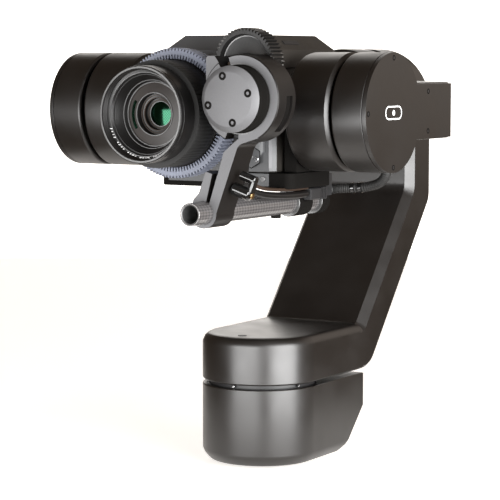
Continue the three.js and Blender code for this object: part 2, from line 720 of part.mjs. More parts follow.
function motorPinion() {
  const levels = [[-1.1, 0.72], [-0.3, 0.95], [0, 1], [0.85, 1]];
  const shape = gearShape(FOCUS_MOTOR, PINION_TEETH, PINION_PHASE, levels);
  return join(extrude("y", shape, -127, -116), disc("y", MOTOR_AXIS, 1.5, -133, -126, ROUND.small));
}

// ---- follow-focus motor and clamp ----
const atMotor = (x, z, ...radius) => [FOCUS_MOTOR[0] + x, FOCUS_MOTOR[1] + z, ...radius];
const JAW_ANGLES = [126, 246];
const RING_ANGLES = [-93, 108];
const polar = (radius, degrees) => {
  const angle = THREE.MathUtils.degToRad(degrees);
  return [radius * Math.cos(angle), radius * Math.sin(angle)];
};

function sector([from, to]) {
  const corners = [[0, 0]];
  const steps = 6;
  for (let i = 0; i <= steps; i += 1) corners.push(polar(60, from + ((to - from) * i) / steps));
  return extrude("y", outline(corners.map((corner) => atMotor(...corner))), -160, -120);
}

const ringTube = () => tube("y", MOTOR_AXIS, RING_BORE, RING_OUTER, ...RING_Y, ROUND.large);

function clampJaw() {
  const ear = extrude("y", outline([
    atMotor(-26, 10),
    atMotor(-26, 27, 2),
    atMotor(-10, 27),
    atMotor(-10, 10),
  ]), RING_Y[0] + 1.2, RING_Y[1]);
  const bore = disc("y", MOTOR_AXIS, RING_BORE, -160, -120, ROUND.large);
  return cut(join(ringTube(), ear), bore).intersect(sector(JAW_ANGLES));
}

// The arm that drops from the ring to the split eye round the rod.
function bracketArm() {
  const eye = [ROD.x - FOCUS_MOTOR[0], ROD.z - FOCUS_MOTOR[1]];
  const web = outline([
    atMotor(-12.4, -34),
    atMotor(-2, -25.5),
    atMotor(14, -24.2),
    atMotor(-1.5, -29, 6),
    atMotor(eye[0] + 9.5, eye[1] - 1),
    atMotor(eye[0] + 1, eye[1] - 4),
    atMotor(eye[0] - 9.2, eye[1] + 2),
    atMotor(-35, -64.5),
    atMotor(-31, -60.5),
    atMotor(-25.6, -46.5),
    atMotor(-19, -48.5),
    atMotor(-16.8, -48.5),
  ]);
  const slot = outline([
    atMotor(-18.8, -40),
    atMotor(-14.2, -40),
    atMotor(-24.4, -71),
    atMotor(-27.6, -74),
  ]);
  const axis = [ROD.x, 0, ROD.z];
  const arm = join(extrude("y", web, ...RING_Y), disc("y", axis, 10, ...RING_Y, ROUND.medium));
  const bore = disc("y", axis, ROD.radius + GAP, -160, -120, ROUND.medium);
  return cut(arm, bore, extrude("y", slot, -160, -120));
}

const SCREW_TOP = 117;
const SCREW_BOTTOM = 256.5;

// A short screw across one of the ring's two gaps, square to the radius.
function jawScrew(degrees, radius, length) {
  const geometry = new THREE.CylinderGeometry(radius, radius, length, ROUND.fine);
  geometry.rotateZ(THREE.MathUtils.degToRad(degrees));
  geometry.rotateX(Math.PI / 2);
  const [x, z] = atMotor(...polar((RING_BORE + RING_OUTER) / 2, degrees));
  return solid(geometry.translate(x, (RING_Y[0] + RING_Y[1]) / 2, z));
}

// The lever's axis runs square to the arm, from inside the arm out to the right and down.
const LEVER = { x: -11.2, z: -57, y: -141.5, tilt: THREE.MathUtils.degToRad(-18.3) };
function leverSolid(geometry) {
  geometry.rotateZ(-Math.PI / 2);
  geometry.rotateY(-LEVER.tilt);
  const [x, z] = atMotor(LEVER.x, LEVER.z);
  return solid(geometry.translate(x, LEVER.y, z));
}
// A cylinder on the lever's axis, or moved up from it, between two places along the axis.
function leverBar(radius, from, to, up = 0) {
  const geometry = new THREE.CylinderGeometry(radius, radius, to - from, ROUND.fine);
  return leverSolid(geometry.translate(0, (from + to) / 2, up));
}

function clampLever() {
  const link = leverSolid(new THREE.BoxGeometry(6, 3.4, 10).translate(0, 13.5, 5));
  const hub = join(leverBar(4.3, 0.6, 14), leverBar(2, -6.6, 1));
  return join(hub, link, leverBar(3, 3.2, 15.2, 10));
}

// The lug behind the ring's top gap holds the drive gear's axle.
function axleLug() {
  const lug = disc("y", DRIVE_AXIS, 5.5, RING_Y[1] - 8.2, RING_Y[1], ROUND.small);
  return lug.intersect(sector([95, 124.5]));
}

function motorBracket() {
  const ring = ringTube().intersect(sector(RING_ANGLES));
  const whole = join(ring, bracketArm(), axleLug());
  const room = disc("y", MOTOR_AXIS, RING_BORE, -160, -120, ROUND.large);
  const screwHole = leverBar(2 + RUNNING, -9, 3);
  const axleHole = disc("y", DRIVE_AXIS, AXLE_RADIUS + GAP, -136, -120, ROUND.small);
  return cut(whole, room, screwHole, axleHole, jawScrew(SCREW_BOTTOM, 3.4 + GAP, 9));
}

function buildFollowFocus() {
  piece("focus_gear_ring", gearRing(), "gear");
  piece("drive_gear", driveGear(), "plastic");
  piece("motor_pinion", motorPinion(), "steel");
  piece("gear_axle", join(
    disc("y", DRIVE_AXIS, AXLE_RADIUS, -135.7, -113, ROUND.small),
    disc("y", DRIVE_AXIS, 4, -114.2, -112.5, ROUND.small),
  ), "steel");
  const shaftHole = disc("y", MOTOR_AXIS, 1.5 + RUNNING, -134, -120, ROUND.small);
  const can = cut(disc("y", MOTOR_AXIS, RING_BORE - GAP, -160, -129.3, ROUND.large), shaftHole);
  piece("motor_body", can, "plastic");
  const cap = [[0, -166], [17.5, -166], [21, -162.8], [21, -160.3], [0, -160.3]];
  piece("motor_cap", turn("y", MOTOR_AXIS, cap, ROUND.large), "satin");
  piece("motor_bracket", motorBracket(), "satin");
  piece("clamp_jaw", clampJaw(), "satin");
  piece("jaw_screw_top", jawScrew(SCREW_TOP, 2.4, 6.4), "steel");
  piece("jaw_screw_bottom", jawScrew(SCREW_BOTTOM, 3.2, 7.2), "plastic");
  piece("clamp_lever", clampLever(), "gloss");
}

// ---- rod, connector block and cables ----
const ROD_AXIS = [ROD.x, 0, ROD.z];
const FRONT_CABLE = [
  [66, -128.5, 244], [65.6, -124.5, 243.4], [61, -119.5, 235], [56.6, -118, 219],
  [54.8, -116, 207.5], [55.2, -108, 200], [56.5, -96, 196.8], [57.2, -78, 195],
  [57.4, -60, 194.2], [57.4, -46, 194.2], [57.4, -38.6, 194.4],
];
const REAR_CABLE = [
  [50, 4.6, 194.6], [50.2, 9, 194.6], [55, 14, 195], [63, 18, 195.4], [75, 19.5, 196.8],
  [86, 17, 200.4], [92, 13, 206.5], [94, 10, 215], [93, 9, 226], [89.5, 9, 238],
  [86.6, 7.5, 246.5], [86, 3, 250.2], [86, -1.9, 250.6],
];

const KNOB_AXIS = [48, 0, 202.3];

function connectorBlock() {
  const lower = box([44.6, 54], [-14, 4], [187.5, 198.5]);
  const tall = box([42, 54], [-4, 4], [196, 206.5]);
  const seat = disc("y", ROD_AXIS, 9.6 + GAP, -20, 10, ROUND.medium);
  const bore = disc("y", KNOB_AXIS, 1.5 + RUNNING, -8, 2, ROUND.fine);
  return cut(join(lower, tall), seat, bore);
}

function cablePlug() {
  const shape = outline([[54.7, 190, 1.5], [61, 190, 1.5], [61, 198.2, 1.5], [54.7, 198.2, 1.5]]);
  return extrude("y", shape, -38.3, -24, null, 3);
}

function rodRing(from, to) {
  return turn("y", ROD_AXIS, [
    [ROD.radius + GAP, from],
    [9.6, from],
    [9.6, to - 1.5],
    [8.6, to],
    [ROD.radius + GAP, to],
  ]);
}

// The front ring has a saddle that meets the underside of the cradle plate.
function frontRodRing() {
  const saddle = box([ROD.x - 5, ROD.x + 5], [-41, -25], [ROD.z, PLATE.bottom - GAP]);
  const bore = disc("y", ROD_AXIS, ROD.radius + GAP, -50, -10);
  return join(rodRing(-42, -22), cut(saddle, bore));
}

function buildRod() {
  const rod = tube("y", ROD_AXIS, ROD.bore, ROD.radius, ROD.front, ROD.back);
  piece("rod", rod, "carbon");
  piece("rod_ring_front", frontRodRing(), "housing");
  piece("rod_ring_rear", rodRing(-10, 2.5), "housing");
  piece("connector_block", connectorBlock(), "plastic");
  piece("block_knob", join(
    disc("y", KNOB_AXIS, 3.7, -12.4, -4.3, ROUND.small),
    disc("y", KNOB_AXIS, 1.5, -6, 1, ROUND.fine),
  ), "plastic");
  piece("cable_plug", cablePlug(), "plastic");
  piece("front_cable", cable(FRONT_CABLE, 2.6, 36), "gloss");
  piece("rear_cable", cable(REAR_CABLE, 3.5, 34), "rubber");
}

buildBase();
buildArm();
buildYoke();
buildCradle();
buildLens();
buildFollowFocus();
buildRod();

export default object;
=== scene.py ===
import json
import math

import bmesh
import bpy
from mathutils import Matrix, Vector


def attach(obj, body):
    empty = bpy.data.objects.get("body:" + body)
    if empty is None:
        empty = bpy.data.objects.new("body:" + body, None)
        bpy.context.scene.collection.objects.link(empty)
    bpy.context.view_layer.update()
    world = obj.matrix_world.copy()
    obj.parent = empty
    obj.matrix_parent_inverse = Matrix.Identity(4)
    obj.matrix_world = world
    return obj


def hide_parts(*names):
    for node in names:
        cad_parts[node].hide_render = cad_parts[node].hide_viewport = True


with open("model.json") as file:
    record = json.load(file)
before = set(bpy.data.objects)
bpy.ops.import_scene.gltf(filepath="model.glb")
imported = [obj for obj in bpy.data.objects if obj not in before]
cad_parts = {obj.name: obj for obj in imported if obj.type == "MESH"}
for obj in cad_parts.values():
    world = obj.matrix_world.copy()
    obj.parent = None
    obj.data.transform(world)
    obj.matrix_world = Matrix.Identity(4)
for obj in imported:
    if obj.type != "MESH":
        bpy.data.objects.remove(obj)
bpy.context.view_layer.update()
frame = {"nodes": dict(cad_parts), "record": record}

# Lengths below are millimetres in the part's own frame; MM turns them into metres.
MM = 0.001
HALF_WIDTH = 43
BASE_BACK = 74.7
BASE_TOP = 55
FOOT_BOTTOM = 58
FOOT_TOP = 91.3
ARM_SLOPE = math.radians(50.3)
ARM_THICKNESS = 32
ARM_FRONT = 151.4
ARM_REAR = 185
KNEE_Y = 72
AXIS_Z = 250.5
CHAMFER_IN = 5.5
CHAMFER_ALONG = 6.5
REAR_CHAMFER = 2  # rear and lower edges of the arm
BLOCK_FRONT = 118.5
BLOCK_REAR = 149.5
TILT_Y = -43.2
TILT_RADIUS = 40
CUP_OUTER = 122.7
CUP_INNER = 100
COVER_FACE = CUP_OUTER + 3.3
HUB_OUTER = 97.5
HUB_INNER = 64
TAB_BACK = 48
TAB_HALF = 18.7
YOKE_HALF = 19.5
ROLL = (0, AXIS_Z)
TILT = (TILT_Y, AXIS_Z)
LENS = (7, AXIS_Z)
LENS_FRONT = -166.9
PLATE = {"bottom": 199, "top": 209.7, "front": -70, "back": -13, "half": 63.7, "corner": (-38.5, -31)}
LEFT_FOOT_FRONT = -37  # the left upright stands on a shorter foot
CAMERA = {"left": -37.7, "right": 51.5, "front": -72.5, "back": 16, "bottom": 210, "top": 302}
MODULE = 0.8
RING_TEETH = 105
DRIVE_TEETH = 54
PINION_TEETH = 9
BACKLASH = 0.03  # added to the distance between two gears
DRIVE_ANGLE = 31.4
MOTOR_ANGLE = -64.1
ROD = (44.6, 187.8)
ROD_RADIUS = 7.5
ROD_BORE = 7.6
KNOB = (48, 202.3)


def polar(centre, radius, degrees):
    angle = math.radians(degrees)
    return (centre[0] + radius * math.cos(angle), centre[1] + radius * math.sin(angle))


DRIVE = polar(LENS, MODULE * (RING_TEETH + DRIVE_TEETH) / 2 + BACKLASH, DRIVE_ANGLE)
MOTOR = polar(DRIVE, MODULE * (DRIVE_TEETH + PINION_TEETH) / 2 + BACKLASH, MOTOR_ANGLE)


# ---- mesh helpers ----

def arc(centre, radius, start, end, steps):
    return [polar(centre, radius, start + (end - start) * i / steps) for i in range(steps + 1)]


def circle(centre, radius, count, start=0.0):
    return [polar(centre, radius, start + 360 * i / count) for i in range(count)]


def rounded(corners, steps=8):
    """A closed outline through corners (x, y, fillet radius), each fillet of the same count of points."""
    points = []
    for i, corner in enumerate(corners):
        here = Vector(corner[:2])
        radius = corner[2] if len(corner) > 2 else 0
        if radius <= 0:
            points.append(tuple(here))
            continue
        back = (Vector(corners[i - 1][:2]) - here).normalized()
        on = (Vector(corners[(i + 1) % len(corners)][:2]) - here).normalized()
        half = back.angle(on) / 2
        centre = here + (back + on).normalized() * radius / math.sin(half)
        start = here + back * radius / math.tan(half) - centre
        end = here + on * radius / math.tan(half) - centre
        for k in range(steps + 1):
            points.append(tuple(centre + start.slerp(end, k / steps).normalized() * radius))
    return points


def place(axis, point, along):
    u, v = point
    return {"x": (along, u, v), "y": (u, along, v), "z": (u, v, along)}[axis]


def add(name, data):
    obj = bpy.data.objects.new(name, data)
    bpy.context.scene.collection.objects.link(obj)
    return obj


def skin(name, loops, closed=False):
    """A closed surface through loops of points; a loop of one point is a pole."""
    verts, rows = [], []
    for loop in loops:
        rows.append(range(len(verts), len(verts) + len(loop)))
        verts += [Vector(point) * MM for point in loop]
    faces = []
    pairs = list(zip(rows, rows[1:])) + ([(rows[-1], rows[0])] if closed else [])
    for a, b in pairs:
        count = max(len(a), len(b))
        for i in range(count):
            j = (i + 1) % count
            ring = [a[i % len(a)], a[j % len(a)], b[j % len(b)], b[i % len(b)]]
            faces.append(list(dict.fromkeys(ring)))
    if not closed:
        faces += [list(row) for row in (rows[0], rows[-1]) if len(row) > 1]
    mesh = bpy.data.meshes.new(name)
    mesh.from_pydata(verts, [], faces)
    bm = bmesh.new()
    bm.from_mesh(mesh)
    bmesh.ops.recalc_face_normals(bm, faces=bm.faces)
    bm.to_mesh(mesh)
    bm.free()
    return add(name, mesh)


def lathe(name, axis, centre, profile, count=96):
    loops = []
    for radius, along in profile:
        if radius == 0:
            loops.append([place(axis, centre, along)])
        else:
            loops.append([place(axis, point, along) for point in circle(centre, radius, count)])
    return skin(name, loops, closed=profile[0][0] > 0)


def band(inner, outer, low, high):
    """The profile of a plain disc or tube."""
    return [(inner, low), (outer, low), (outer, high), (inner, high)]


def prism(name, axis, outline, low, high):
    return skin(name, [[place(axis, point, t) for point in outline] for t in (low, high)])


def loft(name, axis, plan, levels):
    return skin(name, [[place(axis, point, t) for point in plan(inset)] for t, inset in levels])


def box(name, x, y, z):
    return prism(name, "z", [(x[0], y[0]), (x[1], y[0]), (x[1], y[1]), (x[0], y[1])], *z)


def bake(obj):
    graph = bpy.context.evaluated_depsgraph_get()
    mesh = bpy.data.meshes.new_from_object(obj.evaluated_get(graph))
    obj.modifiers.clear()
    obj.data = mesh
    return obj


def combine(obj, operation, *tools):
    for tool in tools:
        modifier = obj.modifiers.new("combine", "BOOLEAN")
        modifier.operation = operation
        modifier.solver = "MANIFOLD"
        modifier.object = tool
        bake(obj)
        bpy.data.objects.remove(tool)
    return obj


def cut(obj, *tools):
    return combine(obj, "DIFFERENCE", *tools)


def join(obj, *tools):
    return combine(obj, "UNION", *tools)


def slice_off(obj, point, normal):
    """Cuts away what lies beyond a plane and closes the cut."""
    bm = bmesh.new()
    bm.from_mesh(obj.data)
    geometry = bm.verts[:] + bm.edges[:] + bm.faces[:]
    result = bmesh.ops.bisect_plane(
        bm, geom=geometry, plane_co=Vector(point) * MM, plane_no=Vector(normal), clear_outer=True
    )
    edges = [item for item in result["geom_cut"] if isinstance(item, bmesh.types.BMEdge)]
    bmesh.ops.holes_fill(bm, edges=edges)
    bmesh.ops.recalc_face_normals(bm, faces=bm.faces)
    bm.to_mesh(obj.data)
    bm.free()
    return obj


def soften(obj, width, segments=2, angle=28):
    """Rounds the edges and keeps the flats flat by weighting normals by area."""
    obj.data.shade_smooth()
    modifier = obj.modifiers.new("soften", "BEVEL")
    modifier.width = width * MM
    modifier.segments = segments
    modifier.limit_method = "ANGLE"
    modifier.angle_limit = math.radians(angle)
    bake(obj)
    weighted = obj.modifiers.new("weighted", "WEIGHTED_NORMAL")
    weighted.keep_sharp = True
    return bake(obj)


# ---- materials ----

def calculate(tree, operation, *values):
    """A math node on numbers or sockets; gives back the socket with its result."""
    node = tree.nodes.new("ShaderNodeMath")
    node.operation = operation
    for socket, value in zip(node.inputs, values):
        if isinstance(value, (int, float)):
            socket.default_value = value
        else:
            tree.links.new(value, socket)
    return node.outputs[0]


def surface(name, slot, color, rough, metallic=0.0, **extra):
    """A procedural finish: coarse and fine noise in the colour, coarse in roughness, fine in relief."""
    grain = extra.get("grain", 900.0)
    stretch = extra.get("stretch", (1, 1, 1))
    material = bpy.data.materials.new(name)
    material.use_nodes = True
    tree = material.node_tree
    nodes, links = tree.nodes, tree.links
    shader = nodes["Principled BSDF"]
    shader.inputs["Metallic"].default_value = metallic
    shader.inputs["Specular IOR Level"].default_value = extra.get("specular", 0.5)
    shader.inputs["Coat Weight"].default_value = extra.get("coat", 0.0)
    shader.inputs["Coat Roughness"].default_value = 0.1
    coordinates = nodes.new("ShaderNodeTexCoord")
    mapping = nodes.new("ShaderNodeMapping")
    mapping.inputs["Scale"].default_value = stretch
    links.new(coordinates.outputs["Object"], mapping.inputs["Vector"])

    def noise(scale, detail):
        node = nodes.new("ShaderNodeTexNoise")
        node.inputs["Scale"].default_value = scale
        node.inputs["Detail"].default_value = detail
        links.new(mapping.outputs["Vector"], node.inputs["Vector"])
        return node.outputs["Fac"]

    def remap(value, low, high):
        node = nodes.new("ShaderNodeMapRange")
        node.inputs["From Min"].default_value = 0.3
        node.inputs["From Max"].default_value = 0.7
        node.inputs["To Min"].default_value = low
        node.inputs["To Max"].default_value = high
        links.new(value, node.inputs["Value"])
        return node.outputs["Result"]

    fine = noise(grain, 3)
    broad = noise(40.0, 2)
    tint = nodes.new("ShaderNodeMix")
    tint.data_type = "RGBA"
    spread = extra.get("spread", 0.12)
    tint.inputs["A"].default_value = [c * (1 - spread) for c in color] + [1]
    tint.inputs["B"].default_value = [c * (1 + spread) for c in color] + [1]
    mixed = calculate(tree, "MULTIPLY_ADD", fine, 0.5, calculate(tree, "MULTIPLY", broad, 0.5))
    links.new(remap(mixed, 0, 1), tint.inputs["Factor"])
    links.new(tint.outputs["Result"], shader.inputs["Base Color"])
    wander = extra.get("wander", 0.12)
    links.new(remap(broad, rough * (1 - wander), rough * (1 + wander)), shader.inputs["Roughness"])
    bump = nodes.new("ShaderNodeBump")
    bump.inputs["Strength"].default_value = extra.get("relief", 0.15)
    bump.inputs["Distance"].default_value = 0.00004
    links.new(fine, bump.inputs["Height"])
    links.new(bump.outputs["Normal"], shader.inputs["Normal"])
    material["slot"] = slot
    return material


LOOK = {
    "housing": surface("satin_housing", "housing", (0.0068, 0.0054, 0.0045), 0.38, grain=1600, specular=0.7),
    "casting": surface("satin_casting", "casting", (0.0064, 0.0051, 0.0043), 0.36, grain=1600, specular=0.7),
    # satin is a light grey satin metal. On the clamp's front faces it is a painted highlight where they face
    # the lamps, and satin_dark is its shaded copy for the sides.
    "satin": surface("satin_aluminium_and_highlight", "satin_metal", (0.125, 0.125, 0.13), 0.6, 0.3, grain=1800),
    "satin_dark": surface(
        "satin_sides_shaded_copy", "satin_metal", (0.007, 0.006, 0.0055), 0.42, specular=0.25
    ),
    "steel": surface("machined_steel", "steel", (0.55, 0.55, 0.56), 0.25, 1.0, stretch=(1, 20, 1)),
    "copper": surface("copper_winding", "copper_winding", (0.55, 0.24, 0.10), 0.4, 0.8, grain=400),
    "plastic": surface("black_plastic", "black_plastic", (0.015, 0.015, 0.016), 0.45, grain=1200),
    "lens_black": surface("black_anodised", "black_metal", (0.007, 0.0066, 0.0065), 0.32, 0.1),
    "gloss": surface("gloss_black", "gloss_black", (0.006, 0.006, 0.006), 0.12, coat=0.6, wander=0.3),
    "camera": surface("camera_coat", "camera_paint", (0.020, 0.0175, 0.015), 0.5, grain=1400, specular=0.4),
    # camera_face is a lighter grey for the front faces of the camera and the plate: a painted highlight where
    # that front faces the lamps.
    "camera_face": surface("camera_front_painted_highlight", "camera_paint", (0.075, 0.077, 0.08), 0.5, grain=1400),
    # shade is a near-black finish that barely reflects: painted shade on parts and hollows that lie in shadow,
    # such as the plate, the uprights, the motor can, screw sinks and the clamp's slot.
    "shade": surface("painted_shade_black", "black_plastic", (0.006, 0.0055, 0.005), 0.75, specular=0.05),
    "wheel": surface("black_acetal", "black_plastic", (0.006, 0.0057, 0.0055), 0.38, specular=0.4),
    "brown": surface("brown_sheath", "black_plastic", (0.03, 0.018, 0.012), 0.5, specular=0.3),
    "pupil": surface("green_coating_and_painted_grid", "lens_glass", (0.01, 0.036, 0.022), 0.1, 1.0, specular=0, relief=0),
    "rubber": surface("black_rubber", "black_rubber", (0.007, 0.0068, 0.0065), 0.65, grain=1500),
    "gear": surface("violet_nylon", "gear_plastic", (0.17, 0.185, 0.235), 0.5, grain=700),
    "board": surface("solder_mask", "circuit_board", (0.02, 0.12, 0.05), 0.4, grain=300),
    "silver": surface("silver_ring", "steel", (0.12, 0.12, 0.12), 0.35, 0.6),
    "white": surface("pale_print", "camera_paint", (0.75, 0.75, 0.75), 0.5),
    "brass": surface("brass_screw", "copper_winding", (0.45, 0.30, 0.14), 0.3, 1.0),
    "glass": surface("coated_glass", "lens_glass", (0.028, 0.024, 0.022), 0.4, specular=0.3, relief=0.0),
    "carbon": surface("carbon_weave", "carbon_tube", (0.10, 0.095, 0.095), 0.3, 0.3, coat=0.5),
}


def pattern(look, centre, pitch, around=0.0, light=2.0):
    """Lays a two-tone check over a finish: across X and Z, or diagonal round a tube of a given radius."""
    tree = LOOK[look].node_tree
    nodes, links = tree.nodes, tree.links
    shader = nodes["Principled BSDF"]
    painted = shader.inputs["Base Color"].links[0].from_socket
    split = nodes.new("ShaderNodeSeparateXYZ")
    links.new(nodes.new("ShaderNodeTexCoord").outputs["Object"], split.inputs[0])

    u = calculate(tree, "SUBTRACT", split.outputs["X"], centre[0] * MM)
    v = calculate(tree, "SUBTRACT", split.outputs["Z"], centre[1] * MM)
    if around:
        turn = calculate(tree, "MULTIPLY", calculate(tree, "ARCTAN2", v, u), around * MM)
        along = calculate(tree, "MULTIPLY", split.outputs["Y"], 0.55)
        u = calculate(tree, "ADD", turn, along)
        v = calculate(tree, "SUBTRACT", turn, along)
    joined = nodes.new("ShaderNodeCombineXYZ")
    links.new(u, joined.inputs["X"])
    links.new(v, joined.inputs["Y"])
    joined.inputs["Z"].default_value = 0.5 * pitch * MM
    check = nodes.new("ShaderNodeTexChecker")
    check.inputs["Scale"].default_value = 1 / (pitch * MM)
    links.new(joined.outputs[0], check.inputs["Vector"])
    check.inputs["Color1"].default_value = (light, light, light, 1)
    check.inputs["Color2"].default_value = (0.7, 0.7, 0.7, 1)
    blend = nodes.new("ShaderNodeVectorMath")
    blend.operation = "MULTIPLY"
    links.new(painted, blend.inputs[0])
    links.new(check.outputs["Color"], blend.inputs[1])
    links.new(blend.outputs[0], shader.inputs["Base Color"])


pattern("carbon", ROD, 1.9, around=ROD_RADIUS, light=1.4)
# The check on the green pupil is a painted reflection of a lamp's grid.
pattern("pupil", LENS, 0.9, light=2.2)

CAD_LOOK = {
    "housing": "housing", "casting": "casting", "satin_metal": "satin", "steel": "steel",
    "copper_winding": "copper", "black_plastic": "plastic", "black_metal": "lens_black",
    "gloss_black": "gloss", "camera_paint": "camera", "black_rubber": "rubber",
    "gear_plastic": "gear", "lens_glass": "glass", "carbon_tube": "carbon",
    "circuit_board": "board",
}
for entry in frame["record"]["subparts"]:
    node = frame["nodes"][entry["node"]]
    node.data.materials.clear()
    node.data.materials.append(LOOK[CAD_LOOK[entry["material_slot"]]])


def part(obj, look, body, *nodes, bevel=0.0, segments=2, sharp=30):
    """Rounds, shades and paints a piece, and hangs it on its body in place of CAD nodes."""
    if bevel:
        soften(obj, bevel, segments)
    obj.data.shade_smooth()
    obj.data.set_sharp_from_angle(angle=math.radians(sharp))
    obj.data.materials.clear()
    obj.data.materials.append(LOOK[look])
    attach(obj, body)
    if nodes:
        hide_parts(*nodes)
    return obj


def paint_lit_faces(obj, look, direction, least=0.75, before=0):
    """Paints the faces that look along a direction, ahead of a place along Y, with a second, lighter finish: a
    painted highlight on the faces turned to the lamps.
    """
    obj.data.materials.append(LOOK[look])
    aim = Vector(direction)
    for face in obj.data.polygons:
        if face.normal.dot(aim) > least and (not before or face.center.y < before * MM):
            face.material_index = 1
    return obj


def screw(name, point, direction, radius, height, look, body, socket=0.5):
    """A socket-head screw whose head stands up from a point along a direction."""
    turn = Vector(direction).to_track_quat("Z", "Y").to_matrix()
    count = 24

    def ring(size, along, hexagon=False):
        loop = []
        for i in range(count):
            angle = 2 * math.pi * i / count
            reach = size
            if hexagon:
                reach = size * math.cos(math.pi / 6) / math.cos((angle % (math.pi / 3)) - math.pi / 6)
            local = Vector((reach * math.cos(angle), reach * math.sin(angle), along))
            loop.append(tuple(Vector(point) + turn @ local))
        return loop

    edge = min(0.25, radius * 0.2)
    loops = [
        ring(radius, -0.4),
        ring(radius, height - edge),
        ring(radius - edge, height),
        ring(radius * socket, height, True),
        ring(radius * socket, height - min(0.8, height * 0.7), True),
    ]
    return part(skin(name, loops), look, body, sharp=20)


# ---- pan base and arm ----

def foot_plan(inset):
    radius = HALF_WIDTH - inset
    back = BASE_BACK - inset
    return [(radius, back), (-radius, back)] + arc((0, 0), radius, 180, 360, 72)


def build_base():
    levels = [(0, 5.8), (2, 3.7), (5, 1.2), (8, 0), (BASE_TOP, 0)]
    body = loft("base_shell", "z", foot_plan, levels)
    slice_off(body, (0, 44, 0), (0, 1, -1))
    cut(body, lathe("well", "z", (0, 0), band(0, 38.5, 6.5, 60)))
    part(body, "casting", "base", "base_housing", bevel=0.9, segments=3)
    for angle in (200, 270, 340):
        start = polar((0, 0), HALF_WIDTH - 3.2, angle) + (56.4,)
        direction = polar((0, 0), 1, angle) + (0,)
        screw(f"groove_screw_{angle}", start, direction, 0.9, 0.8, "steel", "pan_arm")


def arm_profile(insets):
    front_inset, rear_inset = insets
    sin, cos, tan = math.sin(ARM_SLOPE), math.cos(ARM_SLOPE), math.tan(ARM_SLOPE)
    far = ARM_THICKNESS - rear_inset
    front = (KNEE_Y + front_inset * sin, FOOT_TOP - front_inset * cos)
    rear = (KNEE_Y + far * sin, FOOT_TOP - far * cos)
    low, high = FOOT_BOTTOM + rear_inset, FOOT_TOP - front_inset
    near, back = ARM_FRONT + front_inset, ARM_REAR - rear_inset
    top = AXIS_Z - 35
    return rounded([
        (20, low),
        (rear[0] + (low - rear[1]) / tan, low, 20 - rear_inset),
        (back, rear[1] + (back - rear[0]) * tan, 16 - rear_inset),
        (back, top),
        (near, top),
        (near, front[1] + (near - front[0]) * tan, 12 + front_inset),
        (front[0] + (high - front[1]) / tan, high, 5 + front_inset),
        (20, high),
    ])


def arm_top_plan(inset):
    radius = HALF_WIDTH - inset
    return [(-radius, AXIS_Z - 55), (radius, AXIS_Z - 55)] + arc(ROLL, radius, 0, 180, 72)


def build_arm():
    levels = [(FOOT_BOTTOM, 1.0), (FOOT_BOTTOM + 1.0, 0), (FOOT_TOP - CHAMFER_ALONG, 0)]
    levels += [(FOOT_TOP - 2.6, 1.7), (FOOT_TOP - 0.9, 3.6), (FOOT_TOP, CHAMFER_IN)]
    foot = loft("arm_shell", "z", foot_plan, levels)
    edge = HALF_WIDTH - CHAMFER_IN
    rear_edge = HALF_WIDTH - REAR_CHAMFER
    partway = CHAMFER_ALONG * (1 - REAR_CHAMFER / CHAMFER_IN)
    right = [(edge, (0, 0)), (rear_edge, (partway, 0)), (HALF_WIDTH, (CHAMFER_ALONG, REAR_CHAMFER))]
    left = [(-place, insets) for place, insets in reversed(right)]
    arm = loft("arm_bar", "x", arm_profile, left + right)
    deep = [(ARM_FRONT, CHAMFER_IN), (ARM_FRONT + CHAMFER_ALONG, 0)]
    deep += [(ARM_REAR - REAR_CHAMFER, 0), (ARM_REAR, REAR_CHAMFER)]
    join(foot, arm, loft("arm_head", "y", arm_top_plan, deep))
    well = [(0, FOOT_BOTTOM - 1), (39.8, FOOT_BOTTOM - 1), (39.8, 80)]
    well += [(36, FOOT_TOP - 3.2), (0, FOOT_TOP - 3.2)]
    cut(foot, lathe("room", "y", ROLL, band(0, 36, ARM_FRONT - 1, ARM_REAR - 5)))
    cut(foot, lathe("seat", "y", ROLL, band(0, 30, ARM_REAR - 2.7, ARM_REAR + 1)))
    cut(foot, lathe("well", "z", (0, 0), well))
    part(foot, "casting", "pan_arm", "arm_casting", bevel=0.7, segments=3)
    part(lathe("arm_lip", "z", (0, 0), band(34.5, 38, 50, 60)), "plastic", "pan_arm")
    build_rear_cover()
    plug = [(0, FOOT_TOP - 0.1), (3.2, FOOT_TOP - 0.1), (3.2, FOOT_TOP + 0.25)]
    plug += [(2.8, FOOT_TOP + 0.4), (0, FOOT_TOP + 0.4)]
    part(lathe("foot_plug", "z", (0, -28), plug, 48), "plastic", "pan_arm")


def build_rear_cover():
    cover = [(0, ARM_REAR - 2.4), (29.7, ARM_REAR - 2.4), (29.7, ARM_REAR + 0.9)]
    cover += [(29.1, ARM_REAR + 1.5), (25, ARM_REAR + 1.5), (24.6, ARM_REAR + 1.1)]
    cover += [(24.2, ARM_REAR + 1.5), (0, ARM_REAR + 1.5)]
    part(lathe("rear_cover", "y", ROLL, cover), "housing", "pan_arm", "arm_rear_cover")
    for i in range(6):
        u, v = polar(ROLL, 27, 60 * i + 30)
        point = (u, ARM_REAR + 1.1, v)
        screw(f"rear_cover_screw_{i}", point, (0, 1, 0), 1.4, 0.6, "steel", "pan_arm")


# ---- yoke ----

def build_yoke():
    block = [
        (0, BLOCK_FRONT), (41.4, BLOCK_FRONT), (42.6, BLOCK_FRONT + 0.5), (43, BLOCK_FRONT + 1.6),
        (43, BLOCK_REAR - 1.5), (42.4, BLOCK_REAR - 0.5), (41.5, BLOCK_REAR), (39, BLOCK_REAR),
        (39, BLOCK_FRONT + 6), (16, BLOCK_FRONT + 6), (16, BLOCK_REAR + 4.1), (4.5, BLOCK_REAR + 4.1),
        (4.5, BLOCK_FRONT + 18), (0, BLOCK_FRONT + 18),
    ]
    part(lathe("roll_block", "y", ROLL, block, 128), "housing", "yoke", "yoke_block")
    for side, word in ((1, "right"), (-1, "left")):
        build_yoke_side(side, word)


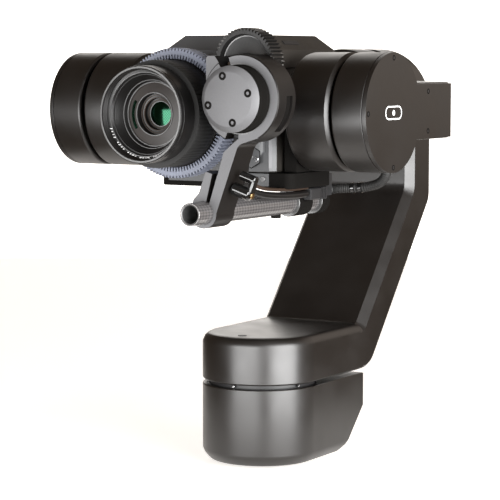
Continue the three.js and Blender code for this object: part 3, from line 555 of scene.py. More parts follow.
def bar_plan(side):
    inner = CUP_OUTER - 22.7
    outer_sum = CUP_OUTER + TAB_BACK
    inner_sum = outer_sum - math.sqrt(2) * 22
    corners = [
        (CUP_OUTER, -30), (CUP_OUTER, outer_sum - CUP_OUTER), (38, outer_sum - 38),
        (inner_sum - BLOCK_FRONT, BLOCK_FRONT), (inner, inner_sum - inner), (inner, -30),
    ]
    return [(side * x, y) for x, y in corners]


def build_yoke_side(side, word):
    cup = [
        (0, side * CUP_INNER), (38.6, side * CUP_INNER), (39.6, side * (CUP_INNER + 0.5)),
        (TILT_RADIUS, side * (CUP_INNER + 1.4)), (TILT_RADIUS, side * (CUP_OUTER - 0.3)),
        (TILT_RADIUS - 0.3, side * CUP_OUTER), (0, side * CUP_OUTER),
    ]
    arm = lathe("yoke_bar_" + word, "x", TILT, cup, 128)
    bar = prism("bar", "z", bar_plan(side), AXIS_Z - YOKE_HALF, AXIS_Z + YOKE_HALF)
    join(arm, soften(bar, 0.7))
    cut(arm, lathe("room", "x", TILT, band(0, 36.8, side * 99, side * 119.7)))
    cut(arm, lathe("seat", "y", ROLL, band(0, 43.3, BLOCK_FRONT - 0.3, BLOCK_REAR + 2)))
    part(arm, "housing", "yoke", "yoke_arm_" + word)
    build_cover(side, word)


def build_cover(side, word):
    face = side * COVER_FACE
    start = math.degrees(math.asin(TAB_HALF / TILT_RADIUS))
    outline = arc(TILT, TILT_RADIUS, start, 360 - start, 120)
    outline += [(TAB_BACK, AXIS_Z - TAB_HALF), (TAB_BACK, AXIS_Z + TAB_HALF)]
    low, high = sorted((side * (CUP_OUTER + 0.3), face))
    cover = prism("cover_" + word, "x", outline, low, high)
    slice_off(cover, (face, TAB_BACK - 2.6, 0), (side, 1, 0))
    part(cover, "housing", "yoke", "tilt_cover_" + word, bevel=0.35)
    spots = [polar(TILT, 36.3, angle) for angle in (90, 180, 270)]
    spots += [(9, AXIS_Z + 13.5), (9, AXIS_Z - 13.5)]
    sink = band(1.1, 1.9, face - side * 0.4, face + side * 0.12)
    for i, (y, z) in enumerate(spots):
        part(lathe(f"cover_{word}_sink_{i}", "x", (y, z), sink, 32), "shade", "yoke")
        point = (face - side * 0.3, y, z)
        screw(f"cover_{word}_screw_{i}", point, (side, 0, 0), 1.3, 0.35, "plastic", "yoke")
    build_level_mark(word, face - side * 0.2, face + side * 0.06)


def build_level_mark(word, low, high):
    """A plain level symbol: a long rounded ring with a dot in it."""
    rings = []
    for half, depth in ((12.0, 4.6), (11.0, 3.6)):
        left, right, fillet = TILT_Y - half, TILT_Y + half, depth - 0.05
        rings.append(rounded([
            (left, AXIS_Z - depth, fillet), (right, AXIS_Z - depth, fillet),
            (right, AXIS_Z + depth, fillet), (left, AXIS_Z + depth, fillet),
        ]))
    outer, inner = rings
    rows = ((outer, low), (outer, high), (inner, high), (inner, low))
    loops = [[place("x", point, along) for point in ring] for ring, along in rows]
    part(skin(f"cover_{word}_level", loops, closed=True), "white", "yoke")
    part(lathe(f"cover_{word}_dot", "x", TILT, band(0, 1.9, low, high), 32), "white", "yoke")


# ---- cradle ----

def build_cradle():
    for side, word in ((1, "right"), (-1, "left")):
        build_hub(side, word)
        build_upright(side, word)
    build_plate()
    build_camera()


def build_hub(side, word):
    hub = [
        (0, HUB_INNER), (36, HUB_INNER), (38, HUB_INNER + 0.7), (39.4, HUB_INNER + 2),
        (TILT_RADIUS, HUB_INNER + 4), (TILT_RADIUS, HUB_OUTER - 2.2),
        (TILT_RADIUS - 1.9, HUB_OUTER - 0.2), (37.8, HUB_OUTER), (36.8, HUB_OUTER),
        (36.8, HUB_INNER + 6), (16, HUB_INNER + 6), (16, 100.8), (4.5, 100.8),
        (4.5, HUB_INNER + 20), (0, HUB_INNER + 20),
    ]
    profile = [(radius, side * x) for radius, x in hub]
    part(lathe("hub_" + word, "x", TILT, profile, 128), "housing", "cradle", "tilt_hub_" + word)


def build_upright(side, word):
    half, foot = 20, 210
    front = TILT_Y - 19.9 if side > 0 else LEFT_FOOT_FRONT
    stem = [(TILT_Y + half, foot)] + arc(TILT, half, 0, 180, 40)
    stem += [(TILT_Y - half, AXIS_Z - 10), (front, PLATE["top"] + 12), (front, foot)]
    low, high = sorted((side * (HUB_INNER - 10), side * (HUB_INNER - 0.3)))
    # The uprights take the shade finish: painted shade, as they sit in shadow behind the motor and lens.
    part(prism("stem_" + word, "x", stem, low, high), "shade", "cradle", "upright_" + word, bevel=0.6)


def build_plate():
    half, front, back = PLATE["half"], PLATE["front"], PLATE["back"]
    bottom, top = PLATE["bottom"], PLATE["top"]
    corner_x, corner_y = PLATE["corner"]
    plan = [(corner_x, front, 3), (half, front, 6), (half, back, 6), (-half, back, 6), (-half, corner_y, 4)]
    plate = prism("plate", "z", rounded(plan), bottom, top)
    # The plate is in painted shade, and two lighter sheets on its front are a painted highlight where that
    # front is lit.
    part(plate, "shade", "cradle", "cradle_plate", bevel=0.8)
    skin_y = (front - 0.8, front + 1)
    lip = box("plate_face_lit_sheet", (-34, 12), skin_y, (bottom + 3.5, top - 1))
    part(lip, "camera_face", "cradle", bevel=0.4)
    pad = box("plate_pad_lit_sheet", (24, 46), skin_y, (bottom + 1.5, top - 0.5))
    part(pad, "camera_face", "cradle", bevel=0.4)
    label = box("blank_label", (30, 37.5), (front - 1.0, front - 0.6), (202, 207))
    part(label, "white", "cradle", bevel=0.15)
    screw("pad_screw", (42, front - 0.7, 205.5), (0, -1, 0), 1.9, 0.8, "silver", "cradle")


def camera_plan(inset):
    x0, x1 = CAMERA["left"] + inset, CAMERA["right"] - inset
    y0, y1 = CAMERA["front"] + inset, CAMERA["back"] - inset
    corner = 4
    return [
        (x0 + corner, y0), (x1 - corner, y0), (x1, y0 + corner), (x1, y1 - corner),
        (x1 - corner, y1), (x0 + corner, y1), (x0, y1 - corner), (x0, y0 + corner),
    ]


def build_camera():
    top, bottom, front = CAMERA["top"], CAMERA["bottom"], CAMERA["front"]
    left, right, back = CAMERA["left"], CAMERA["right"], CAMERA["back"]
    levels = [(bottom, 0.8), (bottom + 0.8, 0), (top - 10, 0), (top, 10)]
    body = loft("camera_shell", "z", camera_plan, levels)
    cut(body, box("room", (left + 5, right - 5), (front + 8, back + 1), (bottom + 5, top - 13)))
    recess = box("side_recess", (right - 2.5, right + 2), (front + 14, back - 12), (bottom + 12, top - 22))
    cut(body, recess)
    for i in range(9):
        y = -20 + 3.6 * i
        cut(body, box("vent", (-18, 32), (y, y + 1.6), (top - 2, top + 1)))
    part(body, "camera", "cradle", "camera_body", bevel=0.5)
    # Forward faces of the body get the lighter camera_face grey: a painted highlight for the lit front.
    paint_lit_faces(body, "camera_face", (0, -1, 0), 0.6)
    rear = box("camera_back", (left + 5.3, right - 5.3), (back - 4, back), (bottom + 5.3, top - 13.3))
    part(rear, "plastic", "cradle", "camera_rear_panel", bevel=0.5)
    for i in range(4):
        across = (left + 14 + 18 * i, left + 26 + 18 * i)
        port = box(f"port_{i}", across, (back - 1, back + 0.6), (bottom + 12, bottom + 20))
        part(port, "gloss", "cradle", bevel=0.4)
    build_camera_front(left, right, bottom, top, front)


def build_camera_front(left, right, bottom, top, front):
    outline = [
        (left + 5, bottom + 14), (left + 15, bottom + 4), (right - 17, bottom + 4), (right - 7, bottom + 14),
        (right - 7, top - 24), (right - 17, top - 12), (left + 15, top - 12), (left + 5, top - 24),
    ]
    face = prism("camera_face", "y", outline, front - 2.8, front - 0.3)
    cut(face, lathe("hole", "y", LENS, band(0, 29.3, front - 4, front + 1)))
    for i in range(7):
        across = (-34 + 3.2 * i, -33 + 3.2 * i)
        cut(face, box("groove", across, (front - 4, front - 2), (top - 40, top - 10)))
    part(face, "camera_face", "cradle", "camera_front_plate", bevel=0.4)
    # A light satin strip on the right front chamfer: a painted highlight along that edge.
    edge = [(right - 4, front - 0.25), (right - 2.4, front + 1.35)]
    edge += [(right - 2.8, front + 1.7), (right - 4.4, front + 0.2)]
    part(prism("front_edge", "z", edge, bottom + 3, top - 22), "satin", "cradle")
    spot = (right - 16, bottom + 10.5)
    for name, radius, depth, look in (
        ("hex_seam", 8.0, 2.95, "shade"),
        ("hex_panel", 7.3, 3.3, "camera_face"),
    ):
        panel = prism(name, "y", circle(spot, radius, 6, 30), front - depth, front - 2.6)
        part(panel, look, "cradle", bevel=0.1)
    screw("panel_screw", (spot[0], front - 3.3, spot[1]), (0, -1, 0), 1.9, 0.9, "silver", "cradle")
    arch = [(34, front - 4.2), (38, front - 4.2), (39, front - 3.4), (39, front - 1), (34, front - 1)]
    part(lathe("mount_arch", "y", LENS, arch, 128), "camera_face", "cradle")
    mount = [(24.3, -78), (28.4, -78), (29, -77.4), (29, front - 0.3), (24.3, front - 0.3)]
    part(lathe("mount", "y", LENS, mount, 128), "silver", "cradle", "lens_mount_ring")
    face_screws = [(right - 12, bottom + 22), (right - 12, bottom + 9)]
    face_screws += [(left + 12, top - 26), (right - 12, top - 28)]
    for i, (x, z) in enumerate(face_screws):
        screw(f"face_screw_{i}", (x, front - 2.7, z), (0, -1, 0), 1.7, 0.9, "steel", "cradle")
    screw("side_screw", (right - 2.4, front + 30, bottom + 30), (1, 0, 0), 2.2, 1.2, "steel", "cradle")
    window = box("sensor_window", (left + 6, left + 13), (front - 1.2, front + 0.2), (top - 18, top - 12))
    part(window, "gloss", "cradle", bevel=0.3)


# ---- lens ----

def ribs(inner, outer, low, high, pitch):
    """Profile points of fine rings between two places."""
    points, at = [], low
    while at < high - pitch * 0.9:
        points += [(outer, at), (outer, at + pitch * 0.55)]
        points += [(inner, at + pitch * 0.6), (inner, at + pitch * 0.95)]
        at += pitch
    return points


def ribbed_tube(name, bore, outer, low, high, count, depth):
    """A tube whose outside has grooves along its axis."""
    rows = [
        (bore, low, 0), (outer - depth, low, 0), (outer, low + 0.5, depth),
        (outer, high - 0.5, depth), (outer - depth, high, 0), (bore, high, 0),
    ]
    loops = []
    for radius, along, groove in rows:
        loop = []
        for i in range(count * 4):
            reach = radius - (groove if i % 4 in (0, 1) else 0)
            loop.append(place("y", polar(LENS, reach, 90 * i / count), along))
        loops.append(loop)
    return skin(name, loops, closed=True)


def build_lens():
    front = LENS_FRONT
    barrel = [(24, -78.3), (32.6, -78.3), (33, -78.8)]
    barrel += [(33, -84), (32.6, -84.2), (32.6, -84.8), (33, -85), (33, -98), (32.4, -98.3), (32.4, -100)]
    barrel += [(33, -100.3), (33, -112.6), (32.6, -113), (28, -113), (28, -151), (24, -151)]
    part(lathe("barrel", "y", LENS, barrel, 128), "lens_black", "cradle", "lens_barrel")
    stripe = band(32.9, 33.15, -109, -107.8)
    part(lathe("barrel_band", "y", LENS, stripe, 128), "brass", "cradle")
    tube = [(29.6, front), (30.9, front), (31.3, front + 0.3), (31.5, front + 0.9)]
    tube += [(31.5, front + 3), (31.2, front + 3.2), (31.2, front + 3.8), (31.5, front + 4)]
    tube += [(31.5, -151.3), (23.7, -151.3), (23.7, -141), (20.9, -141)]
    tube += [(20.9, front + 17.4), (22, front + 14.5), (26.8, front + 6.2), (28.9, front + 5.8)]
    for i in range(6):
        tube += [(28.9, front + 5.0 - 0.75 * i), (29.3, front + 4.7 - 0.75 * i)]
    part(lathe("front_tube", "y", LENS, tube, 128), "lens_black", "cradle", "lens_front_tube", sharp=18)
    rim = [(29.7, front - 0.02), (30.8, front - 0.02), (31.35, front + 0.35)]
    rim += [(31.2, front + 0.8), (29.7, front + 0.8)]
    part(lathe("front_rim", "y", LENS, rim, 128), "silver", "cradle")
    build_ring_marks(front)
    build_glass(front)
    ring = ribbed_tube("focus_grip", 28.2, 35.2, -128.8, -113.4, 90, 0.35)
    part(ring, "rubber", "focus_ring_set", "focus_ring")
    zoom = ribbed_tube("zoom_grip", 28.2, 35, -150.7, -129.3, 84, 0.35)
    part(zoom, "rubber", "zoom_ring", "zoom_ring")


def build_ring_marks(front):
    """Plain ticks along the lower part of the front ring, with every fifth one left out."""
    for i in range(40):
        if i % 5 == 4:
            continue
        u, v = polar(LENS, 27.9, 200 + i * 4.2)
        size = 0.5 if i % 3 else 0.8
        tick = box(f"ring_mark_{i}", (u - size, u + size), (front + 5.7, front + 6.05), (v - 0.28, v + 0.28))
        part(tick, "white", "cradle")


def build_glass(front):
    def dome(name, radius, rim_y, rise, look, hole=0):
        profile = []
        for i in range(9):
            r = hole + (radius - hole) * i / 8
            profile.append((r, rim_y - rise * (1 - (r / radius) ** 2)))
        profile += [(radius, rim_y + 1.2), (hole, rim_y + 1.2)]
        return part(lathe(name, "y", LENS, profile, 96), look, "cradle")

    outer = dome("front_glass", 20.6, front + 18.2, 1.6, "glass", hole=13.9)
    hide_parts("lens_glass")
    baffle = [(13.9, front + 17.2), (13.6, front + 17.0), (13.2, front + 21.2), (10.6, front + 21.4)]
    baffle += [(10.4, front + 24.4), (8.1, front + 24.6), (8.1, front + 26), (13.9, front + 26)]
    part(lathe("baffle", "y", LENS, baffle, 96), "lens_black", "cradle", sharp=18)
    dome("pupil_glass", 8.1, front + 25.2, 0.55, "pupil")
    for i, (radius, y, look) in enumerate((
        (27.2, 6.1, "silver"), (25.8, 7.9, "lens_black"), (22.3, 14.3, "silver"), (20.8, 17.2, "silver"),
        (13.9, 17.0, "silver"), (12.4, 21.0, "brown"), (10.7, 21.2, "brown"), (9.2, 24.3, "brown"),
    )):
        line = band(radius - 0.35, radius + 0.15, front + y - 0.25, front + y + 0.6)
        part(lathe(f"lens_line_{i}", "y", LENS, line, 96), look, "cradle")
    # A thin green crescent laid in the front glass, carrying the painted grid: a painted glint of the lamp.
    glint = arc(LENS, 17.8, 150, 214, 12) + arc(LENS, 15.9, 214, 150, 12)
    part(prism("coating_glint", "y", glint, front + 17.2, front + 17.9), "pupil", "cradle")
    rim = band(7.9, 8.3, front + 24.4, front + 24.7)
    part(lathe("pupil_rim", "y", LENS, rim, 96), "silver", "cradle")


# ---- follow-focus gears ----

def half_tooth(teeth, radius):
    pressure = math.radians(20)
    pitch_radius = MODULE * teeth / 2

    def involute(angle):
        return math.tan(angle) - angle

    base = pitch_radius * math.cos(pressure)
    flank = involute(math.acos(min(1, base / radius)))
    return math.pi / (2 * teeth) - 0.05 / pitch_radius + involute(pressure) - flank


def tooth_loop(centre, teeth, phase, y, inset=0.0):
    """Eight points per tooth round a gear, at one place along Y."""
    pitch_radius = MODULE * teeth / 2
    radii = [pitch_radius + offset * MODULE - inset for offset in (-1.15, -0.5, 0.3, 0.95)]
    loop = []
    for i in range(teeth):
        middle = phase + 2 * math.pi * i / teeth
        halves = [half_tooth(teeth, radius) for radius in radii]
        rising = [(radius, middle - half) for radius, half in zip(radii, halves)]
        falling = [(radius, middle + half) for radius, half in zip(radii[::-1], halves[::-1])]
        for radius, angle in rising + falling:
            loop.append(place("y", polar(centre, radius, math.degrees(angle)), y))
    return loop


def ring_loop(centre, teeth, phase, radius, y, finger=0.0):
    """A circle with as many points as tooth_loop; finger widens it under each gap between teeth."""
    loop = []
    for i in range(teeth * 8):
        angle = math.degrees(phase) + 360 * (i - 3.5) / (teeth * 8)
        reach = radius + (finger if i % 8 in (0, 1, 6, 7) else 0)
        loop.append(place("y", polar(centre, reach, angle), y))
    return loop


def build_gears():
    phase = math.radians(DRIVE_ANGLE)
    front, back = -127.6, -115.6
    ring = (LENS, RING_TEETH, phase)
    loops = [tooth_loop(*ring, front, 0.25), tooth_loop(*ring, front + 0.4)]
    loops += [tooth_loop(*ring, back - 0.4), tooth_loop(*ring, back, 0.25)]
    loops += [ring_loop(*ring, 35.5, back, 3.0), ring_loop(*ring, 35.5, front + 0.5, 3.0)]
    loops.append(ring_loop(*ring, 35.7, front, 2.8))
    part(skin("focus_gear", loops, closed=True), "gear", "focus_ring_set", "focus_gear_ring", sharp=20)
    drive = (DRIVE, DRIVE_TEETH, phase + math.pi + math.pi / DRIVE_TEETH)
    loops = [tooth_loop(*drive, -128.5, 0.2), tooth_loop(*drive, -128.2)]
    loops += [tooth_loop(*drive, -114.8), tooth_loop(*drive, -114.5, 0.2)]
    disc = [(2.05, -114.5), (2.05, -127.6), (5.8, -127.6), (6.2, -124.5)]
    disc += [(17.6, -124.5), (18, -128.1), (18.4, -128.5)]
    loops += [ring_loop(*drive, radius, y) for radius, y in disc]
    part(skin("drive_wheel", loops, closed=True), "wheel", "drive_gear", "drive_gear", sharp=20)
    web = [(6.4, -124.7)]
    for i in range(18):
        web += [(6.6 + 0.58 * i, -124.8), (6.9 + 0.58 * i, -124.62)]
    web += [(17.3, -124.7), (17.3, -124.4), (6.4, -124.4)]
    part(lathe("drive_web", "y", DRIVE, web, 96), "silver", "drive_gear")
    axle = [(0, -135.7), (2, -135.7), (2, -114.2), (4, -114.2), (4, -112.5), (0, -112.5)]
    part(lathe("axle", "y", DRIVE, axle, 48), "steel", "cradle", "gear_axle")
    cap = [(2.1, -128.6), (4.0, -128.6), (4.3, -128.3), (4.3, -127.5), (2.1, -127.5)]
    part(lathe("drive_hub", "y", DRIVE, cap, 48), "steel", "drive_gear")


# ---- follow-focus motor and clamp ----

RING_Y = (-151, -129)
THROUGH = (-160, -120)  # longer than the clamp, to cut right through it
CLAMP_BORE = 22
SLOT_ANGLES = (-48, 4)


def motor_ring():
    front, back = RING_Y
    profile = [(CLAMP_BORE, front), (27.3, front), (28, front + 0.7), (28, back - 0.5)]
    profile += [(27.5, back), (CLAMP_BORE, back)]
    return lathe("motor_ring", "y", MOTOR, profile, 144)


def wedge(start, end):
    return prism("wedge", "y", [MOTOR] + arc(MOTOR, 60, start, end, 12), *THROUGH)


def motor_bore():
    return lathe("bore", "y", MOTOR, band(0, CLAMP_BORE, *THROUGH), 144)


def around_motor(corners):
    return rounded([(MOTOR[0] + corner[0], MOTOR[1] + corner[1]) + tuple(corner[2:]) for corner in corners], 4)


def build_jaw():
    outline = around_motor([(-26, 10), (-26, 27, 2), (-10, 27), (-10, 10)])
    jaw = join(motor_ring(), prism("ear", "y", outline, RING_Y[0] + 1.2, RING_Y[1]))
    cut(jaw, motor_bore())
    combine(jaw, "INTERSECT", wedge(126, 246))
    part(jaw, "satin_dark", "cradle", "clamp_jaw")
    # Front faces get the light satin: a painted highlight where they face the lamps.
    paint_lit_faces(jaw, "satin", (0, -1, 0))


def build_bracket():
    eye = (ROD[0] - MOTOR[0], ROD[1] - MOTOR[1])
    web = around_motor([
        (-12.4, -34), (-2, -25.5), (14, -24.2), (-1.5, -29, 6), (eye[0] + 9.5, eye[1] - 1),
        (eye[0] + 1, eye[1] - 4), (eye[0] - 9.2, eye[1] + 2), (-35, -64.5), (-31, -60.5),
        (-25.6, -46.5), (-19, -48.5), (-16.8, -48.5),
    ])
    slot = around_motor([(-18.8, -40), (-14.2, -40), (-24.4, -71), (-27.6, -74)])
    bracket = combine(motor_ring(), "INTERSECT", wedge(-93, 108))
    lug = lathe("lug", "y", DRIVE, band(0, 5.5, -137.2, -129), 48)
    combine(lug, "INTERSECT", wedge(95, 124.5))
    rod_eye = lathe("eye", "y", ROD, band(0, 10, *RING_Y))
    join(bracket, prism("web", "y", web, *RING_Y), rod_eye, lug)
    cut(bracket, motor_bore())
    cut(bracket, lathe("rod_bore", "y", ROD, band(0, ROD_BORE, *THROUGH)))
    cut(bracket, prism("slot", "y", slot, *THROUGH))
    cut(bracket, lathe("axle_hole", "y", DRIVE, band(0, 2.3, -136, -120), 48))
    groove = lathe("groove", "y", MOTOR, band(26, 30, -141, -133.5), 144)
    cut(bracket, combine(groove, "INTERSECT", wedge(*SLOT_ANGLES)))
    # A dark sheet at the bottom of the slot: painted shade in the groove.
    bed = lathe("slot_shade_sheet", "y", MOTOR, band(25.9, 26.4, -141.1, -133.4), 144)
    part(combine(bed, "INTERSECT", wedge(*SLOT_ANGLES)), "shade", "cradle")
    part(bracket, "satin_dark", "cradle", "motor_bracket")
    # Front faces get the light satin: a painted highlight where they face the lamps.
    paint_lit_faces(bracket, "satin", (0, -1, 0), before=-145)


def jaw_screw(name, degrees, radius, length, look, node):
    profile = [(0, -length / 2), (radius - 0.3, -length / 2), (radius, -length / 2 + 0.3)]
    for i in range(int(length / 0.9) - 1):
        at = -length / 2 + 0.6 + 0.9 * i
        profile += [(radius, at), (radius - 0.2, at + 0.3), (radius - 0.2, at + 0.5), (radius, at + 0.8)]
    profile += [(radius, length / 2 - 0.3), (radius - 0.3, length / 2), (0, length / 2)]
    bar = lathe(name, "z", (0, 0), profile, 32)
    angle = math.radians(degrees)
    along = Vector((-math.sin(angle), 0, math.cos(angle)))
    place_at = polar(MOTOR, 25, degrees)
    matrix = Matrix.Translation(Vector((place_at[0], -140, place_at[1])) * MM)
    bar.data.transform(matrix @ along.to_track_quat("Z", "Y").to_matrix().to_4x4())
    part(bar, look, "cradle", node)


def build_motor():
    body = [(0, -160.2), (20.6, -160.2), (21.2, -159.6), (21.2, -153.4), (21.7, -152.9)]
    body += [(21.7, -129.8), (21.2, -129.3), (1.55, -129.3), (1.55, -134), (0, -134)]
    part(lathe("motor_can", "y", MOTOR, body, 128), "shade", "cradle", "motor_body")
    liner = band(21.75, 22.3, -151.3, -150.9)
    part(lathe("ring_liner", "y", MOTOR, liner, 128), "silver", "cradle")
    cap = [(0, -166), (17, -166), (17.3, -165.9), (20.7, -163.1)]
    cap += [(21, -162.7), (21, -160.7), (20.7, -160.3), (0, -160.3)]
    face = part(lathe("motor_face", "y", MOTOR, cap, 128), "shade", "cradle", "motor_cap")
    # Front faces get the light satin, a painted highlight; the rest stays in the painted shade finish.
    paint_lit_faces(face, "satin", (0, -1, 0), 0.5)
    sink = band(1.3, 2.6, -165.95, -166.1)
    socket = band(0, 1, -165.8, -165.95)
    for angle in (15, 105, 195, -77):
        u, v = polar(MOTOR, 15, angle)
        part(lathe(f"cap_sink_{angle}", "y", (u, v), sink, 32), "shade", "cradle")
        point = (u, -165.7, v)
        screw(f"cap_screw_{angle}", point, (0, -1, 0), 2.2, 0.6, "shade", "cradle", socket=0.55)
        part(lathe(f"cap_socket_{angle}", "y", (u, v), socket, 6), "steel", "cradle")


def build_lever():
    tilt = math.radians(18.3)
    axis = Vector((math.cos(tilt), 0, -math.sin(tilt)))
    up = Vector((math.sin(tilt), 0, math.cos(tilt)))
    turn = Matrix((axis, Vector((0, 1, 0)), up)).transposed().to_4x4()
    origin = Vector((MOTOR[0] - 11.2, -141.5, MOTOR[1] - 57)) * MM
    matrix = Matrix.Translation(origin) @ turn
    hub = [(0, 0.6), (3.8, 0.6), (4.3, 1.2), (4.3, 13.4), (3.7, 14), (0, 14)]
    lever = lathe("lever", "x", (0, 0), hub, 48)
    pin = lathe("pin", "x", (0, 0), band(0, 2, -6.6, 1), 48)
    link = soften(box("link", (11.8, 15.2), (-3, 3), (0, 10)), 0.8)
    bar = lathe("bar", "x", (0, 10), [(0, 3.2), (2.2, 3.2), (3, 4), (3, 14.6), (2.4, 15.2), (0, 15.2)], 48)
    join(lever, pin, link, bar)
    lever.data.transform(matrix)
    part(lever, "gloss", "clamp_lever", "clamp_lever")
    cap = lathe("lever_screw", "x", (0, 0), [(0, 14.9), (2.0, 14.9), (2.2, 15.2), (1.8, 15.8), (0, 15.8)], 32)
    cap.data.transform(matrix)
    part(cap, "brass", "clamp_lever")


# ---- rod, connector block and cables ----

def build_rod():
    tube = [(6.3, -166.4), (6.8, -167), (7.2, -167), (ROD_RADIUS, -166.7), (ROD_RADIUS, 2.7)]
    tube += [(7.2, 3), (6.3, 3)]
    part(lathe("rod_tube", "y", ROD, tube, 96), "carbon", "cradle", "rod")
    sleeve = [(5.9, -166.6), (6.9, -166.9), (7.1, -167), (6.9, -166.4)]
    sleeve += [(6.35, -166.2), (6.35, -150), (5.9, -150)]
    part(lathe("rod_sleeve", "y", ROD, sleeve, 96), "silver", "cradle")
    build_collar("front", -42, -22)
    build_collar("rear", -10, 2.5)
    build_block()
    build_plug()
    screw("rod_screw", (ROD[0], -58, ROD[1] - 7.2), (0, 0, -1), 3.4, 2.2, "shade", "cradle")


def build_collar(name, low, high):
    ring = [(ROD_BORE, low), (9.1, low), (9.6, low + 0.5), (9.6, low + 3), (9.2, low + 3.3)]
    ring += [(9.2, low + 4.3), (9.6, low + 4.6), (9.6, high - 1.5), (8.6, high), (ROD_BORE, high)]
    collar = lathe("collar_" + name, "y", ROD, ring, 96)
    if name == "front":
        saddle = box("saddle", (ROD[0] - 5, ROD[0] + 5), (-41, -25), (ROD[1], PLATE["bottom"] - 0.3))
        bore = lathe("bore", "y", ROD, band(0, ROD_BORE, -50, -10), 96)
        join(collar, cut(saddle, bore))
    part(collar, "shade", "cradle", "rod_ring_" + name)
    line = [(9.3, low - 0.1), (9.5, low + 0.2), (9.5, low + 0.4)]
    line += [(ROD_BORE, low + 0.4), (ROD_BORE, low - 0.1)]
    part(lathe("collar_line_" + name, "y", ROD, line, 96), "silver", "cradle")


def build_block():
    lower = box("block", (44.6, 54), (-14, 4), (187.5, 198.5))
    join(lower, box("tall", (42, 54), (-4, 4), (196, 206.5)))
    cut(lower, lathe("seat", "y", ROD, band(0, 9.9, -20, 10), 96))
    cut(lower, lathe("hole", "y", KNOB, band(0, 1.55, -8, 2), 32))
    part(lower, "plastic", "cradle", "connector_block", bevel=0.4)
    knob = [(0, -12.4), (3.2, -12.4), (3.7, -11.9)] + ribs(3.4, 3.7, -11.6, -4.9, 0.9)
    knob += [(3.7, -4.6), (3.4, -4.3), (1.5, -4.3), (1.5, 1), (0, 1)]
    part(lathe("knob", "y", KNOB, knob, 48), "plastic", "block_knob", "block_knob")


def build_plug():
    plan = rounded([(54.7, 190, 1.5), (61, 190, 1.5), (61, 198.2, 1.5), (54.7, 198.2, 1.5)])
    part(prism("plug", "y", plan, -38.3, -24), "plastic", "cradle", "cable_plug", bevel=0.5)
    plan = rounded([(54.2, 189.6, 1), (60.4, 189.6, 1), (60.4, 198.4, 1), (54.2, 198.4, 1)])
    for i in range(4):
        rib = prism(f"plug_rib_{i}", "y", plan, -22.6 + 2.2 * i, -21.2 + 2.2 * i)
        part(rib, "plastic", "cradle", bevel=0.2)


def route(points, steps):
    """A smooth curve through the given points, with the same count of steps between each two."""
    ends = [2 * Vector(points[0]) - Vector(points[1])] + [Vector(p) for p in points]
    ends.append(2 * ends[-1] - ends[-2])
    out = []
    for i in range(1, len(ends) - 2):
        p = ends[i - 1:i + 3]
        t = [0.0]
        for a, b in zip(p, p[1:]):
            t.append(t[-1] + math.sqrt((b - a).length))
        for k in range(steps):
            s = t[1] + (t[2] - t[1]) * k / steps
            a = [p[j] + (p[j + 1] - p[j]) * ((s - t[j]) / (t[j + 1] - t[j])) for j in range(3)]
            b = [a[j] + (a[j + 1] - a[j]) * ((s - t[j]) / (t[j + 2] - t[j])) for j in range(2)]
            out.append(b[0] + (b[1] - b[0]) * ((s - t[1]) / (t[2] - t[1])))
    out.append(ends[-2])
    return out


def sweep(name, points, radius, steps=8, sides=16, wrap=0.0):
    path = route(points, steps)
    side = (path[1] - path[0]).orthogonal().normalized()
    loops, previous = [], path[1] - path[0]
    for i, point in enumerate(path):
        along = path[min(i + 1, len(path) - 1)] - path[max(i - 1, 0)]
        side = (previous.rotation_difference(along) @ side).normalized()
        previous = along
        other = along.normalized().cross(side)
        reach = radius - (wrap if wrap and i % 2 else 0)
        loops.append([
            tuple(point + reach * (math.cos(a) * side + math.sin(a) * other))
            for a in (2 * math.pi * k / sides for k in range(sides))
        ])
    return skin(name, loops)


def build_cables():
    front = [
        (66, -128.5, 244), (65.6, -124.5, 243.4), (61, -119.5, 235), (56.6, -118, 219),
        (54.8, -116, 207.5), (55.2, -108, 200), (56.5, -96, 196.8), (57.2, -78, 195),
        (57.4, -60, 194.2), (57.4, -46, 194.2), (57.4, -38.6, 194.4),
    ]
    part(sweep("motor_cable", front, 2.6), "lens_black", "cradle", "front_cable")
    thin = [(x + 0.6, y, z + 4.2) for x, y, z in front[5:]]
    part(sweep("thin_cable", thin, 1.2), "brown", "cradle")
    rear = [
        (50, 4.6, 194.6), (50.2, 9, 194.6), (55, 14, 195), (63, 18, 195.4), (75, 19.5, 196.8),
        (86, 17, 200.4), (92, 13, 206.5), (94, 10, 215), (93, 9, 226), (89.5, 9, 238),
        (86.6, 7.5, 246.5), (86, 3, 250.2), (86, -1.9, 250.6),
    ]
    part(sweep("wrapped_cable", rear, 3.5, steps=12, wrap=0.35), "rubber", "cradle", "rear_cable")
    path = route(rear, 8)
    for i in (24, 28):
        tie = lathe(f"tie_{i}", "z", (0, 0), band(3.5, 4.0, -1.1, 1.1), 32)
        along = (path[i + 1] - path[i - 1]).to_track_quat("Z", "Y").to_matrix().to_4x4()
        tie.data.transform(Matrix.Translation(path[i] * MM) @ along)
        part(tie, "gloss", "cradle")


def build_button():
    key = box("key", (-1.7, 1.7), (-52, -32), (-1.2, 0.5))
    soften(key, 0.4)
    key.data.transform(Matrix.Rotation(math.pi / 4, 4, "Y"))
    corner = Vector((CAMERA["right"] - 5, 0, CAMERA["top"] - 5)) * MM
    key.data.transform(Matrix.Translation(corner))
    part(key, "plastic", "side_button", "side_button")


# ---- staging ----

# Where the camera and the lights stand is in metres.
EYE = (0.7369, -1.2537, 0.2865)
SIGHT = (-0.5098, 0.8552, -0.0936)
VIEW = Vector((SIGHT[0], SIGHT[1], 0)).normalized()


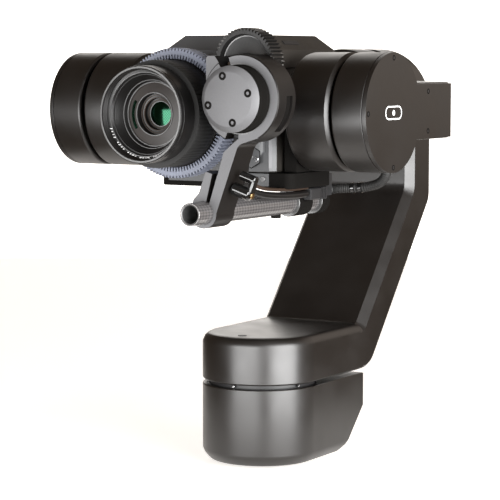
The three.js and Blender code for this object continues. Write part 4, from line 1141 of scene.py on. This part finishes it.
def sweep_strip(name, path, glow):
    """A pale strip along the line of sight through (distance, height, how upright) points."""
    across = Vector((VIEW.y, -VIEW.x, 0))
    up = Vector((0, 0, 1))
    thick = 12
    loops = []
    for u, v, tip in path:
        near = VIEW * u + up * (v - 2.5)
        far = near + VIEW * thick * tip - up * thick * (1 - tip)
        half = 215 + 0.17 * u
        corners = ((near, -half), (near, half), (far, half), (far, -half))
        loops.append([tuple(spot + across * shift) for spot, shift in corners])
    strip = skin(name, loops)
    pale = surface(name + "_paint", "housing", (0.90, 0.88, 0.86), 0.9, spread=0.01, relief=0.02)
    shader = pale.node_tree.nodes["Principled BSDF"]
    shader.inputs["Emission Color"].default_value = (1.0, 0.97, 0.93, 1)
    shader.inputs["Emission Strength"].default_value = glow
    strip.data.materials.append(pale)


def build_stage():
    """The floor runs on into a backdrop far behind, which curves up to upright."""
    join_at, curve_at, radius, top = 1500, 3200, 900, 4600
    sweep_strip("floor", [(-230, 0, 0), (0, 0, 0), (join_at, 0, 0)], 0.74)
    steps = range(-90, 1, 10)
    curve = [polar((curve_at, radius), radius, angle) + ((angle + 90) / 90,) for angle in steps]
    sweep_strip("backdrop", [(join_at, 0, 0)] + curve + [(curve_at + radius, top, 1)], 1.6)


def area_light(name, place_at, aim, size, power, color):
    data = bpy.data.lights.new(name, "AREA")
    data.shape = "RECTANGLE"
    data.size, data.size_y = size
    data.energy = power
    data.color = color
    light = add(name, data)
    light.location = place_at
    light.rotation_euler = (Vector(aim) - Vector(place_at)).to_track_quat("-Z", "Y").to_euler()


def build_lights():
    world = bpy.data.worlds.new("studio")
    bpy.context.scene.world = world
    world.use_nodes = True
    background = world.node_tree.nodes["Background"]
    background.inputs["Color"].default_value = (0.17, 0.125, 0.09, 1)
    background.inputs["Strength"].default_value = 0.66
    for name, spot, size, power, color in (
        ("front_left", (0, -1.0, 0.08), (1.0, 0.45), 14.3, (1, 1, 1)),
        ("front_right", (1.50, -0.52, 0.15), (1.5, 1.2), 78, (1, 1, 1)),
        ("back_right", (0.94, 1.77, 0.9), (2.4, 1.5), 6.5, (1, 0.88, 0.78)),
    ):
        area_light(name, spot, (0, 0, spot[2]), size, power, color)


def build_camera_view():
    data = bpy.data.cameras.new("view")
    data.lens = 146.9
    data.sensor_width = 36
    camera = add("view", data)
    forward = Vector(SIGHT).normalized()
    right = forward.cross(Vector((0, 0, 1))).normalized()
    up = right.cross(forward)
    turn = Matrix((right, up, -forward)).transposed().to_4x4()
    camera.matrix_world = Matrix.Translation(EYE) @ turn
    bpy.context.scene.camera = camera


build_base()
build_arm()
build_yoke()
build_cradle()
build_lens()
build_gears()
build_jaw()
build_bracket()
jaw_screw("top_screw", 117, 2.4, 6.4, "steel", "jaw_screw_top")
jaw_screw("bottom_screw", 256.5, 3.2, 7.2, "plastic", "jaw_screw_bottom")
build_motor()
build_lever()
build_rod()
build_cables()
build_button()
build_stage()
build_lights()
build_camera_view()
bpy.context.scene.view_settings.view_transform = "Standard"
